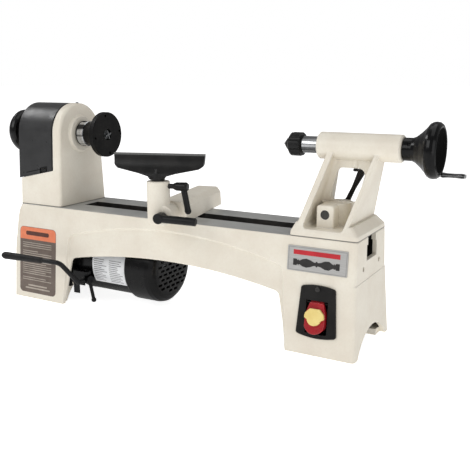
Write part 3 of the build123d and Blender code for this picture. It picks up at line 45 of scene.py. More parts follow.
# Places on the CAD model, in metres.
# Front face of the bed: y = FRONT_Y0 + FRONT_SLOPE * z
FRONT_Y0 = -0.0814
FRONT_SLOPE = 0.0162 / 0.1732
WAY_EDGE_Z = 0.1728                  # the machined top of the bed starts here
SEAM_Z = (0.0009, 0.0019)            # painted shade along the seam fades between these heights above WAY_EDGE_Z
WALL_SKIN = 0.0062                   # deeper than this under the bed's side faces is inside it
END_WALL_X = 0.3150                  # inner faces of the bed's end walls
LEG_SIDE_X, LEG_TOP_Z = 0.2287, 0.105    # the legs' side walls face the arch, below this height; they get no painted shade
PAD_TOP = 0.0102                     # top of the bench bolt pads
SPINDLE_Z = 0.3002
MOTOR_Y, MOTOR_Z, MOTOR_R = 0.004, 0.073, 0.0575
COVER_LEFT, COVER_EDGE_X = -0.3300, -0.2513
COVER_LOW_Z, COVER_SLOPE = 0.2190, 0.2195     # the cover's lower edge rises to the right
# Painted shade on the cover: a line above its lower edge and a patch round its latch.
LATCH_LINE_X, LATCH_LINE_Z = (-0.3130, -0.2790), (0.0068, 0.0086)     # z: above the lower edge
LATCH_PATCH_X, LATCH_PATCH_Z = (-0.2800, -0.2620), (0.0015, 0.0110)
COLLAR_SHADE_RING = (-0.2235, 0.0025)    # middle and half width of the ring of painted shade beside the headstock
REST_GROUND_Z = (0.2797, 0.2806)     # the tool rest is ground bare above this band
DISH_X, DISH_R = 0.3962, 0.0318      # the hollow in the tail wheel's outer side
BADGE_X, BADGE_Z = 0.264, 0.141
BADGE_HALF_X, BADGE_HALF_Z = 0.0465, 0.0185
BADGE_THICK = 0.00105

# Printed pieces: height of the lower and upper face above what they lie on.
FILM = (0.00002, 0.00022)
INK = (0.00020, 0.00030)
TOP_INK = (0.00028, 0.00038)
BADGE_INK = (0.0, 0.00022)
BARREL_FILM = (0.00004, 0.00024)

# Strength of the floor's and the world's light, by what sees it.
FLOOR_TO_EYE, FLOOR_TO_GLOSS, FLOOR_GLOW = 0.85, 0.12, 0.66
WORLD_TO_EYE, WORLD_TO_GLOSS, WORLD_GLOW = 1.0, 0.24, 0.42
FLOOR_R, FLOOR_Z = 40.0, -0.0004

# Camera: a little to the right of the lathe, looking left and down.
EYE = (0.62739, -0.95915, 0.39569)
EYE_DOWN, EYE_LEFT = 12.78, 29.26    # degrees
LENS, SENSOR = 52.56, 36.0           # millimetres

# Area lights: name, place, target, size, watts
LIGHTS = [
    ("key", (-0.9, -1.9, 1.5), (0.0, 0.0, 0.15), (1.4, 1.2), 13),
    ("right", (1.5, -0.7, 0.55), (0.2, 0.0, 0.12), (0.8, 1.0), 3.0),
    ("top", (0.4, 0.2, 1.6), (0.05, 0.0, 0.1), (1.6, 1.0), 5),
    ("strip", (-1.7, -0.30, 1.65), (-0.29, -0.05, 0.27), (1.2, 0.3), 8),
]


def rgb(red, green, blue):
    """Linear colour from 0-255 display values."""
    out = []
    for value in (red, green, blue):
        share = value / 255.0
        out.append(share / 12.92 if share <= 0.04045 else ((share + 0.055) / 1.055) ** 2.4)
    return (*out, 1.0)


# ---------------------------------------------------------------- materials

class Nodes:
    """Short-hand for building one material's node tree."""

    def __init__(self, name):
        self.material = bpy.data.materials.new(name)
        self.material.use_nodes = True
        self.tree = self.material.node_tree
        self.shader = self.tree.nodes["Principled BSDF"]
        self.coords = self.tree.nodes.new("ShaderNodeTexCoord").outputs["Object"]

    def add(self, kind, **values):
        node = self.tree.nodes.new(kind)
        for key, value in values.items():
            setattr(node, key, value)
        return node

    def link(self, source, target):
        self.tree.links.new(source, target)
        return target

    def stretched(self, x, y, z):
        """Coordinates scaled by x, y and z."""
        node = self.add("ShaderNodeMapping")
        node.inputs["Scale"].default_value = (x, y, z)
        self.link(self.coords, node.inputs["Vector"])
        return node.outputs["Vector"]

    def noise(self, scale, detail=3.0, rough=0.55, coords=None):
        node = self.add("ShaderNodeTexNoise")
        node.inputs["Scale"].default_value = scale
        node.inputs["Detail"].default_value = detail
        node.inputs["Roughness"].default_value = rough
        self.link(coords or self.coords, node.inputs["Vector"])
        return node.outputs["Fac"]

    def speckle(self, scale):
        node = self.add("ShaderNodeTexVoronoi")
        node.inputs["Scale"].default_value = scale
        self.link(self.coords, node.inputs["Vector"])
        return node.outputs["Distance"]

    def remap(self, value, low, high, to_low=0.0, to_high=1.0):
        node = self.add("ShaderNodeMapRange", clamp=True)
        self.link(value, node.inputs["Value"])
        node.inputs["From Min"].default_value = low
        node.inputs["From Max"].default_value = high
        node.inputs["To Min"].default_value = to_low
        node.inputs["To Max"].default_value = to_high
        return node.outputs["Result"]

    def math(self, operation, first, second=0.0):
        node = self.add("ShaderNodeMath", operation=operation)
        for index, value in enumerate((first, second)):
            if isinstance(value, (int, float)):
                node.inputs[index].default_value = value
            else:
                self.link(value, node.inputs[index])
        return node.outputs["Value"]

    def axis(self, letter):
        node = self.add("ShaderNodeSeparateXYZ")
        self.link(self.coords, node.inputs["Vector"])
        return node.outputs[letter]

    def mix(self, share, first, second):
        """Colour mix; share is a number or a socket, first and second are colours or sockets."""
        node = self.add("ShaderNodeMix", data_type="RGBA")
        if isinstance(share, (int, float)):
            node.inputs["Factor"].default_value = share
        else:
            self.link(share, node.inputs["Factor"])
        for name, value in (("A", first), ("B", second)):
            socket = [s for s in node.inputs if s.name == name and s.type == "RGBA"][0]
            if isinstance(value, tuple):
                socket.default_value = value
            else:
                self.link(value, socket)
        return [s for s in node.outputs if s.type == "RGBA"][0]

    def mix_value(self, share, first, second):
        """Value mix; first and second are numbers or sockets."""
        node = self.add("ShaderNodeMix", data_type="FLOAT")
        self.link(share, node.inputs["Factor"])
        for name, value in (("A", first), ("B", second)):
            socket = [s for s in node.inputs if s.name == name and s.type == "VALUE"][0]
            if isinstance(value, (int, float)):
                socket.default_value = value
            else:
                self.link(value, socket)
        return [s for s in node.outputs if s.type == "VALUE"][0]

    def edge(self, radius, low=0.02, high=0.25):
        """1 along convex and concave edges, 0 on flats."""
        bevel = self.add("ShaderNodeBevel", samples=4)
        bevel.inputs["Radius"].default_value = radius
        geometry = self.add("ShaderNodeNewGeometry")
        dot = self.add("ShaderNodeVectorMath", operation="DOT_PRODUCT")
        self.link(bevel.outputs["Normal"], dot.inputs[0])
        self.link(geometry.outputs["Normal"], dot.inputs[1])
        return self.remap(self.math("SUBTRACT", 1.0, dot.outputs["Value"]), low, high)

    def crevice(self, distance):
        """0 in corners, 1 in the open."""
        node = self.add("ShaderNodeAmbientOcclusion", samples=8)
        node.inputs["Distance"].default_value = distance
        return node.outputs["AO"]

    def bump(self, height, distance, strength=0.5, soften=0.0):
        """Bump in the shader's normal, on top of edges softened by a radius."""
        node = self.add("ShaderNodeBump")
        node.inputs["Strength"].default_value = strength
        node.inputs["Distance"].default_value = distance
        self.link(height, node.inputs["Height"])
        if soften:
            bevel = self.add("ShaderNodeBevel", samples=6)
            bevel.inputs["Radius"].default_value = soften
            self.link(bevel.outputs["Normal"], node.inputs["Normal"])
        self.link(node.outputs["Normal"], self.shader.inputs["Normal"])

    def set(self, **values):
        """Constant values, on the shader's own sockets."""
        for key, value in values.items():
            self.shader.inputs[key.replace("_", " ")].default_value = value

    def to(self, name, source):
        self.link(source, self.shader.inputs[name])


def inside_bed(n):
    """1 on the inner faces of the bed and of the slot between its ways, which get painted shade, 0 outside.
    """
    x, y, z = (n.axis(letter) for letter in "XYZ")
    half_width = n.math("SUBTRACT", -FRONT_Y0, n.math("MULTIPLY", z, FRONT_SLOPE))
    depth = n.math("SUBTRACT", half_width, n.math("ABSOLUTE", y))
    inside = n.math("MULTIPLY", n.math("GREATER_THAN", depth, WALL_SKIN), n.math("LESS_THAN", z, WAY_EDGE_Z))
    inside = n.math("MULTIPLY", inside, n.math("LESS_THAN", n.math("ABSOLUTE", x), END_WALL_X))
    leg_side = n.math("MULTIPLY", n.math("LESS_THAN", z, LEG_TOP_Z),
                      n.math("LESS_THAN", n.math("ABSOLUTE", x), LEG_SIDE_X))
    inside = n.math("MULTIPLY", inside, n.math("GREATER_THAN", z, PAD_TOP))
    return n.math("MULTIPLY", inside, n.math("SUBTRACT", 1.0, leg_side))


def cast_paint(name, machined=False, seamed=False):
    """Cream enamel over a casting, with painted shade in its crevices and a painted highlight along its
    edges; the bed's upper face is bare and its inner faces get painted shade, and a seamed part gets a
    painted line of shade along its seam with the bed.
    """
    n = Nodes(name)
    mottled = n.mix(n.remap(n.noise(22, 4), 0.35, 0.65), rgb(231, 225, 211), rgb(224, 216, 201))
    fine = n.mix(n.remap(n.noise(260, 3), 0.45, 0.75, 0.0, 0.3), mottled, rgb(218, 208, 191))
    # Painted shade: the paint darkens in corners and crevices.
    crevice_shade = n.mix(n.remap(n.crevice(0.010), 0.25, 0.85, 0.22, 0.0), fine, rgb(172, 161, 141))
    # Painted highlight: the paint lightens towards white along edges, broken up by noise.
    edge_highlight = n.math("MULTIPLY", n.edge(0.0022, 0.03, 0.22), n.remap(n.noise(140, 2), 0.30, 0.50, 0.35, 1.0))
    paint = n.mix(n.math("MULTIPLY", edge_highlight, 0.8), crevice_shade, rgb(254, 251, 243))
    rough = n.remap(n.noise(60, 3), 0.3, 0.7, 0.34, 0.46)
    peel = n.math("ADD", n.noise(420, 2), n.math("MULTIPLY", n.noise(95, 2), 1.4))
    if machined:
        bare = n.math("GREATER_THAN", n.axis("Z"), WAY_EDGE_Z)
        lines = n.noise(90, 5, 0.7, n.stretched(0.5, 26, 26))
        steel = n.mix(n.remap(lines, 0.3, 0.7), rgb(162, 163, 162), rgb(202, 202, 199))
        stain = n.mix(n.remap(n.noise(18, 4), 0.45, 0.7, 0.0, 0.5), steel, rgb(146, 147, 145))
        # Painted shade: the bed's inner faces and the slot between its ways are dark.
        inner_shade = n.mix(n.remap(n.noise(45, 3), 0.35, 0.65), rgb(30, 29, 28), rgb(46, 44, 42))
        paint = n.mix(inside_bed(n), paint, inner_shade)
        n.to("Base Color", n.mix(bare, paint, stain))
        n.to("Metallic", n.math("MULTIPLY", bare, 0.4))
        n.to("Roughness", n.mix_value(bare, rough, n.remap(lines, 0.3, 0.7, 0.3, 0.5)))
        n.bump(n.mix_value(bare, peel, n.math("MULTIPLY", lines, 0.15)), 0.0003, 0.45, 0.0016)
    else:
        # Painted shade: a dark line where a seamed part sits on the bed.
        low, high = (WAY_EDGE_Z + rise for rise in SEAM_Z)
        seam_shade = n.remap(n.axis("Z"), low, high, 0.85 if seamed else 0.0, 0.0)
        n.to("Base Color", n.mix(seam_shade, paint, rgb(52, 48, 43)))
        n.to("Roughness", rough)
        n.bump(peel, 0.0003, 0.45, 0.0018)
    return n.material


def dark_enamel(name, colour, worn_colour, rough=0.36, grain=600, depth=0.00012, coat=0.0, gloss=0.3):
    """Dark satin or gloss finish with a fine grain and lighter rubbed edges."""
    n = Nodes(name)
    tone = n.mix(n.remap(n.noise(35, 3), 0.35, 0.65, 0.0, 0.6), colour, worn_colour)
    rubbed = n.math("MULTIPLY", n.edge(0.0011, 0.06, 0.4), n.remap(n.noise(170, 3), 0.35, 0.65, 0.0, 0.55))
    n.to("Base Color", n.mix(rubbed, tone, n.mix(0.25, worn_colour, rgb(130, 130, 130))))
    n.to("Roughness", n.remap(n.noise(75, 4), 0.3, 0.7, rough - 0.05, rough + 0.08))
    n.bump(n.noise(grain, 2), depth, 0.4, 0.0008)
    n.set(Coat_Weight=coat, Coat_Roughness=0.12, Specular_IOR_Level=gloss)
    return n.material


def between(n, value, low, high):
    """1 where a value lies between two limits."""
    return n.math("MULTIPLY", n.math("GREATER_THAN", value, low), n.math("LESS_THAN", value, high))


def cover_enamel(name):
    """Dark grey sheet with painted shade on its right edge and along the outline of its latch."""
    n = Nodes(name)
    x = n.axis("X")
    tone = n.mix(n.remap(n.noise(35, 3), 0.35, 0.65, 0.0, 0.6), rgb(38, 38, 39), rgb(50, 50, 51))
    rubbed = n.math("MULTIPLY", n.edge(0.0011, 0.06, 0.4), n.remap(n.noise(170, 3), 0.35, 0.65, 0.0, 0.55))
    tone = n.mix(rubbed, tone, rgb(74, 74, 75))
    rise = n.math("MULTIPLY", n.math("ADD", x, -COVER_LEFT), COVER_SLOPE)
    above = n.math("SUBTRACT", n.math("SUBTRACT", n.axis("Z"), COVER_LOW_Z), rise)
    # Painted shade: a black line above the lower edge, a black patch round the latch, and a black right edge.
    line = n.math("MULTIPLY", between(n, above, *LATCH_LINE_Z), between(n, x, *LATCH_LINE_X))
    patch = n.math("MULTIPLY", between(n, above, *LATCH_PATCH_Z), between(n, x, *LATCH_PATCH_X))
    latch_shade = n.math("MULTIPLY", n.math("MAXIMUM", line, patch), n.math("LESS_THAN", n.axis("Y"), 0.0))
    shadowed = n.math("MAXIMUM", latch_shade, n.math("GREATER_THAN", x, COVER_EDGE_X))
    n.to("Base Color", n.mix(shadowed, tone, rgb(1, 1, 1)))
    gloss = n.remap(n.noise(75, 4), 0.3, 0.7, 0.27, 0.4)
    n.to("Roughness", n.math("MAXIMUM", gloss, n.math("MULTIPLY", shadowed, 0.85)))
    n.bump(n.noise(700, 2), 0.00006, 0.4, 0.0008)
    n.set(Specular_IOR_Level=0.55)
    return n.material


def textured_black(name, low, high, rough=0.55, gloss=0.25):
    """Coarse black casting finish."""
    n = Nodes(name)
    pits = n.speckle(520)
    tone = n.mix(n.remap(n.noise(50, 4), 0.35, 0.65), low, high)
    rubbed = n.math("MULTIPLY", n.edge(0.0009, 0.06, 0.4), 0.4)
    n.to("Base Color", n.mix(rubbed, tone, rgb(70, 70, 68)))
    n.to("Roughness", n.remap(pits, 0.0, 0.8, rough + 0.08, rough - 0.08))
    n.bump(n.math("ADD", pits, n.noise(300, 3)), 0.00025, 0.55, 0.0007)
    n.set(Specular_IOR_Level=gloss)
    return n.material


def turned_metal(name, light, dark, rough=0.2, pitch=2600.0, depth=0.00002, metallic=1.0, painted_reflection=0.0,
                 band=75, ring=None):
    """Bright metal, turned about the X axis; painted_reflection paints darker bands along it, a painted
    reflection, and ring paints a ring of shade.
    """
    n = Nodes(name)
    rings = n.noise(1.0, 3, 0.6, n.stretched(pitch, 12, 12))
    smear = n.noise(55, 4)
    turned = n.mix(n.remap(n.math("ADD", rings, n.math("MULTIPLY", smear, 0.5)), 0.45, 1.0), light, dark)
    # Painted reflection: dark bands along the metal.
    bands = n.remap(n.noise(1.0, 1, 0.4, n.stretched(4, band, band)), 0.44, 0.54, painted_reflection, 0.0)
    # Painted shade: a black ring on the spindle's collar beside the headstock.
    if ring:
        middle, half = ring
        away = n.math("ABSOLUTE", n.math("SUBTRACT", n.axis("X"), middle))
        bands = n.math("MAXIMUM", bands, n.math("LESS_THAN", away, half))
    n.to("Base Color", n.mix(bands, turned, rgb(30, 30, 31)))
    n.to("Roughness", n.remap(n.math("ADD", rings, smear), 0.6, 1.4, rough - 0.05, rough + 0.12))
    n.bump(rings, depth, 0.35, 0.0004)
    n.set(Metallic=metallic)
    return n.material


def plastic(name, colour, other, rough=0.35, grain=900, coat=0.0, gloss=0.4):
    """Moulded plastic with a light texture."""
    n = Nodes(name)
    tone = n.mix(n.remap(n.noise(48, 3), 0.35, 0.65), colour, other)
    scuffed = n.math("MULTIPLY", n.edge(0.0008, 0.08, 0.45), n.remap(n.noise(220, 2), 0.4, 0.6, 0.0, 0.4))
    n.to("Base Color", n.mix(scuffed, tone, n.mix(0.4, other, rgb(220, 220, 220))))
    n.to("Roughness", n.remap(n.noise(110, 3), 0.3, 0.7, rough - 0.06, rough + 0.08))
    n.bump(n.noise(grain, 2), 0.00008, 0.4, 0.0007)
    n.set(Coat_Weight=coat, Coat_Roughness=0.15, Specular_IOR_Level=gloss)
    return n.material


def sheet_print(name, colour, other, rough=0.42, metallic=0.0):
    """Printed film or plate: nearly even colour with faint handling marks."""
    n = Nodes(name)
    n.to("Base Color", n.mix(n.remap(n.noise(70, 4), 0.35, 0.7), colour, other))
    n.to("Roughness", n.remap(n.noise(150, 3), 0.3, 0.7, rough - 0.08, rough + 0.1))
    n.bump(n.noise(700, 2), 0.00003, 0.3)
    n.set(Metallic=metallic)
    return n.material


def brushed_plate(name):
    """Badge metal, brushed along X, with a line of painted shade just inside its edge."""
    n = Nodes(name)
    lines = n.noise(60, 5, 0.7, n.stretched(0.6, 30, 30))
    brushed = n.mix(n.remap(lines, 0.3, 0.7), rgb(206, 205, 203), rgb(176, 175, 173))
    across = n.math("ABSOLUTE", n.math("SUBTRACT", n.axis("X"), BADGE_X))
    up = n.math("ABSOLUTE", n.math("SUBTRACT", n.axis("Z"), BADGE_Z))
    inset = n.math("MINIMUM", n.math("SUBTRACT", BADGE_HALF_X, across), n.math("SUBTRACT", BADGE_HALF_Z, up))
    # Painted shade: a darker line just inside the badge's edge.
    rim_shade = n.math("MULTIPLY", n.remap(inset, 0.0012, 0.0016), n.remap(inset, 0.0020, 0.0024, 1.0, 0.0))
    n.to("Base Color", n.mix(n.math("MULTIPLY", rim_shade, 0.7), brushed, rgb(120, 119, 117)))
    n.to("Roughness", n.remap(lines, 0.3, 0.7, 0.34, 0.5))
    n.bump(lines, 0.00003, 0.3, 0.0003)
    n.set(Metallic=0.55)
    return n.material


def rest_casting(name):
    """Black casting whose flat top band is ground bare."""
    n = Nodes(name)
    height = n.remap(n.axis("Z"), *REST_GROUND_Z)
    pits = n.speckle(520)
    black = n.mix(n.remap(n.noise(50, 4), 0.35, 0.65), rgb(16, 16, 16), rgb(30, 29, 28))
    rubbed = n.mix(n.math("MULTIPLY", n.edge(0.0009, 0.06, 0.4), 0.3), black, rgb(80, 80, 78))
    lines = n.noise(80, 4, 0.7, n.stretched(0.6, 20, 20))
    ground = n.mix(n.remap(lines, 0.3, 0.7), rgb(112, 112, 111), rgb(150, 150, 148))
    n.to("Base Color", n.mix(height, rubbed, ground))
    n.to("Metallic", n.math("MULTIPLY", height, 0.6))
    n.to("Roughness", n.remap(pits, 0.0, 0.8, 0.44, 0.3))
    n.bump(n.math("ADD", pits, n.noise(300, 3)), 0.0002, 0.45, 0.0007)
    n.set(Specular_IOR_Level=0.35)
    return n.material


def dished_wheel(name):
    """Gloss black wheel whose dish in its outer side is dull and painted a darker black, painted shade in the
    hollow.
    """
    n = Nodes(name)
    y, z = n.axis("Y"), n.math("SUBTRACT", n.axis("Z"), SPINDLE_Z)
    radius = n.math("SQRT", n.math("ADD", n.math("MULTIPLY", y, y), n.math("MULTIPLY", z, z)))
    beyond = n.math("GREATER_THAN", n.axis("X"), DISH_X)
    dish = n.math("MULTIPLY", beyond, n.math("LESS_THAN", radius, DISH_R))
    tone = n.mix(n.remap(n.noise(35, 3), 0.35, 0.65), rgb(8, 8, 9), rgb(14, 14, 15))
    rubbed = n.math("MULTIPLY", n.edge(0.0012, 0.05, 0.35), n.remap(n.noise(170, 3), 0.35, 0.65, 0.1, 0.5))
    # Painted shade: the dish is a darker black than the rest of the wheel.
    n.to("Base Color", n.mix(dish, n.mix(rubbed, tone, rgb(96, 96, 94)), rgb(4, 4, 4)))
    n.to("Roughness", n.mix_value(dish, n.remap(n.noise(75, 4), 0.3, 0.7, 0.13, 0.24), 0.9))
    n.bump(n.noise(400, 2), 0.00006, 0.4, 0.0008)
    n.set(Specular_IOR_Level=0.25)
    return n.material


CREAM = cast_paint("cream_cast_paint")
SEAMED_CREAM = cast_paint("cream_cast_paint_seamed", seamed=True)
BED_PAINT = cast_paint("cream_cast_paint_machined_ways", machined=True)
COVER_SHEET = cover_enamel("cover_sheet_dark_grey")
COVER_PAINT = dark_enamel("cover_dark_grey", rgb(38, 38, 39), rgb(50, 50, 51), 0.32, 700, 0.00006, gloss=0.55)
MOTOR_BLACK = dark_enamel("motor_black_enamel", rgb(7, 7, 8), rgb(12, 12, 13), 0.22, 500, 0.00008, gloss=0.25)
LEVER_BLACK = dark_enamel("black_oxide_steel", rgb(16, 16, 17), rgb(28, 28, 29), 0.34, 900, 0.00008)
CAST_BLACK = rest_casting("rest_black_casting")
PLATE_BLACK = textured_black("faceplate_black", rgb(11, 11, 11), rgb(24, 23, 22), 0.42, 0.14)
WHEEL_BLACK = dark_enamel("wheel_gloss_black", rgb(8, 8, 9), rgb(14, 14, 15), 0.18, 400, 0.00006, 0.2, 0.25)
GRIP_BLACK = plastic("black_moulded_grip", rgb(20, 20, 20), rgb(30, 29, 29), 0.5, 1200, gloss=0.25)
SWITCH_BLACK = plastic("switch_plate_black", rgb(24, 23, 23), rgb(33, 32, 31), 0.42, 1100, gloss=0.2)
CENTRE_BLACK = dark_enamel("centre_black", rgb(16, 16, 16), rgb(28, 28, 28), 0.36, 800, 0.0001)
CHROME = turned_metal("chrome", rgb(226, 227, 229), rgb(180, 182, 184), 0.12, 1800, metallic=0.7, painted_reflection=0.85)
COLLAR = turned_metal("collar_chrome", rgb(236, 237, 239), rgb(170, 172, 174), 0.12, 1800, metallic=0.75,
                      painted_reflection=0.95, band=120, ring=COLLAR_SHADE_RING)
STEEL = turned_metal("ground_steel", rgb(198, 199, 200), rgb(140, 141, 142), 0.24)
GREY_STEEL = turned_metal("handle_steel", rgb(170, 171, 172), rgb(104, 104, 105), 0.2, painted_reflection=0.95, band=300)
DARK_STEEL = turned_metal("shaft_steel", rgb(96, 95, 93), rgb(62, 61, 60), 0.36)
BLACK_STEEL = turned_metal("centre_point_steel", rgb(58, 58, 58), rgb(34, 34, 34), 0.3)
ZINC = turned_metal("zinc_steel", rgb(170, 172, 174), rgb(126, 128, 130), 0.33, 900)
ALLOY = turned_metal("pulley_alloy", rgb(196, 197, 198), rgb(150, 151, 152), 0.3, 2200)
CORE = turned_metal("core_laminations", rgb(96, 96, 97), rgb(50, 50, 51), 0.5, 2000, 0.0001)
WHEEL_DISHED = dished_wheel("wheel_gloss_black_dished")
RUBBER = plastic("belt_rubber", rgb(22, 22, 22), rgb(32, 32, 32), 0.62, 1500)
RED = plastic("paddle_red", rgb(172, 30, 38), rgb(150, 24, 32), 0.26, 700, 0.3)
YELLOW = plastic("key_yellow", rgb(238, 216, 140), rgb(228, 202, 122), 0.38, 900)
BADGE = brushed_plate("badge_brushed_metal")

FINISHES = {
    BED_PAINT: ["bed"],
    CREAM: ["banjo"],
    SEAMED_CREAM: ["headstock", "tailstock"],
    COVER_SHEET: ["belt_cover"],
    COVER_PAINT: ["leg_door"],
    MOTOR_BLACK: ["motor_body", "motor_front_bell", "motor_rear_bell", "fan_cover", "motor_plate"],
    LEVER_BLACK: ["headstock_screws", "tension_lever", "motor_lock_lever", "banjo_lever", "tail_lever",
                  "quill_lock_lever", "rest_lock_lever", "quill_key_screw", "head_wheel_screw",
                  "tail_wheel_screw"],
    CAST_BLACK: ["rest_head"],
    PLATE_BLACK: ["faceplate"],
    WHEEL_BLACK: ["head_wheel"],
    WHEEL_DISHED: ["tail_wheel"],
    GRIP_BLACK: ["cover_latch", "tension_grip", "door_knob", "motor_fan"],
    SWITCH_BLACK: ["switch_plate", "switch_box"],
    CENTRE_BLACK: ["live_centre_body"],
    CHROME: ["quill"],
    COLLAR: ["spindle"],
    BLACK_STEEL: ["live_centre_tip"],
    GREY_STEEL: ["handle"],
    STEEL: ["rest_post", "lead_screw", "handle_pin", "cover_hinge_pin",
            "door_hinge_pin", "swing_pin", "front_bearing", "rear_bearing", "motor_rotor"],
    DARK_STEEL: ["banjo_shaft", "tail_shaft", "switch_screw"],
    ZINC: ["spur_centre", "banjo_bolt", "tail_bolt", "banjo_clamp_plate", "tail_clamp_plate"],
    ALLOY: ["spindle_pulley", "motor_pulley"],
    CORE: ["motor_stator"],
    RUBBER: ["drive_belt"],
    RED: ["switch_paddle"],
    YELLOW: ["switch_key"],
    BADGE: ["badge"],
}
for material, names in FINISHES.items():
    for name in names:
        mesh = NODES[name].data
        mesh.materials.clear()
        mesh.materials.append(material)


# ------------------------------------------------------------------- pieces

def new_piece(name, builder, material, body):
    """Makes a mesh piece with a bmesh builder and lets it ride on a body."""
    mesh = bpy.data.meshes.new(name)
    work = bmesh.new()
    builder(work)
    bmesh.ops.recalc_face_normals(work, faces=work.faces)
    work.to_mesh(mesh)
    work.free()
    mesh.materials.append(material)
    piece = bpy.data.objects.new(name, mesh)
    bpy.context.scene.collection.objects.link(piece)
    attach(piece, body)
    return piece


def rounded_outline(width, height, corner, steps=6):
    """Points of a rounded rectangle about the origin."""
    points = []
    for turn, (sx, sz) in enumerate(((1, 1), (-1, 1), (-1, -1), (1, -1))):
        for step in range(steps + 1):
            angle = math.pi / 2 * (turn + step / steps)
            points.append((sx * (width / 2 - corner) + corner * math.cos(angle),
                           sz * (height / 2 - corner) + corner * math.sin(angle)))
    return points


def on_front(x, z, out):
    """Point on the bed's leaning front face, raised from it."""
    length = math.hypot(1.0, FRONT_SLOPE)
    return Vector((x, FRONT_Y0 + FRONT_SLOPE * z - out / length, z + out * FRONT_SLOPE / length))


def bar_outline(a, b, length, height):
    """Rectangle from its lower left corner."""
    return [(a, b), (a + length, b), (a + length, b + height), (a, b + height)]


def slab_on(work, outline, place, low, high):
    """Closed slab of an outline between two heights, placed by place(a, b, out)."""
    under = [work.verts.new(place(a, b, low)) for a, b in outline]
    over = [work.verts.new(place(a, b, high)) for a, b in outline]
    work.faces.new(over)
    work.faces.new(list(reversed(under)))
    count = len(outline)
    for index in range(count):
        after = (index + 1) % count
        work.faces.new((under[index], under[after], over[after], over[index]))


def leg_label():
    """Information label on the left leg: plain coloured fields and lines, no lettering."""
    left, right, low, high = -0.3265, -0.2385, 0.0100, 0.1320
    mid_x, mid_z = (left + right) / 2, (low + high) / 2
    width, height = right - left, high - low
    header_low = 0.1090
    margin = 0.0006

    def place(a, b, out):
        return on_front(mid_x + a, mid_z + b, out)

    def base(work):
        slab_on(work, rounded_outline(width, height, 0.008), place, *FILM)

    def header(work):
        outline = rounded_outline(width - 2 * margin, height - 2 * margin, 0.0075)
        cut = header_low - mid_z
        top = [(width / 2 - margin, cut)] + [(a, b) for a, b in outline if b > cut]
        top.append((-width / 2 + margin, cut))
        slab_on(work, top, place, *INK)

    def lines(work):
        rng = random.Random(4)
        line_height, line_pitch, start = 0.0014, 0.0038, -width * 0.42
        z = header_low - 0.0070
        while z > low + 0.0200:
            if rng.random() < 0.85:
                length = width * (0.80 if rng.random() < 0.7 else rng.uniform(0.35, 0.7))
                slab_on(work, bar_outline(start, z - mid_z, length, line_height), place, *INK)
            z -= line_pitch
        foot_height, foot_pitch = 0.0026, 0.0052
        for step, share in enumerate((0.52, 0.68)):
            z = low + 0.0125 - step * foot_pitch
            slab_on(work, bar_outline(-width * share / 2, z - mid_z, width * share, foot_height), place, *INK)

    def header_bar(work):
        z = (header_low + high) / 2 - mid_z
        outline = [(a - 0.001, z + b) for a, b in rounded_outline(0.056, 0.0075, 0.003)]
        slab_on(work, outline, place, *TOP_INK)

    brown = sheet_print("label_brown", rgb(112, 99, 90), rgb(98, 86, 78))
    new_piece("info_label_base", base, brown, "frame")
    orange = sheet_print("label_orange", rgb(232, 132, 92), rgb(222, 120, 82))
    new_piece("info_label_header", header, orange, "frame")
    pale = sheet_print("label_lines", rgb(178, 168, 156), rgb(160, 150, 138))
    new_piece("info_label_lines", lines, pale, "frame")
    dark = sheet_print("label_dark", rgb(92, 52, 40), rgb(82, 46, 36))
    new_piece("info_label_bar", header_bar, dark, "frame")


def badge_art():
    """Red stripe and a turned-spindle silhouette on the badge."""
    def place(a, b, out):
        return on_front(BADGE_X + a, BADGE_Z + b, BADGE_THICK + out)

    def stripe(work):
        slab_on(work, [(-0.0372, 0.0060), (0.0349, 0.0060), (0.0349, 0.0128), (-0.0372, 0.0128)],
                place, *BADGE_INK)

    def figure(work):
        profile = [(-0.040, 0.0048), (-0.034, 0.0048), (-0.0325, 0.0026), (-0.031, 0.0042), (-0.029, 0.0026),
                   (-0.024, 0.0052), (-0.017, 0.0066), (-0.010, 0.0050), (-0.004, 0.0026), (-0.001, 0.0024),
                   (0.0, 0.0040), (0.0018, 0.0040), (0.003, 0.0024), (0.008, 0.0032), (0.015, 0.0060),
                   (0.022, 0.0064), (0.0275, 0.0034), (0.0295, 0.0026), (0.031, 0.0042), (0.0325, 0.0026),
                   (0.034, 0.0048), (0.040, 0.0048)]
        narrow, shift, drop = 0.90, -0.00115, -0.0055
        outline = [(a * narrow + shift, drop + b) for a, b in profile]
        outline += [(a * narrow + shift, drop - b) for a, b in reversed(profile)]
        slab_on(work, outline, place, *BADGE_INK)

    red = sheet_print("badge_red", rgb(196, 32, 44), rgb(180, 26, 38), 0.35)
    new_piece("badge_stripe", stripe, red, "frame")
    black = sheet_print("badge_black", rgb(34, 32, 32), rgb(46, 44, 43), 0.35)
    new_piece("badge_figure", figure, black, "frame")


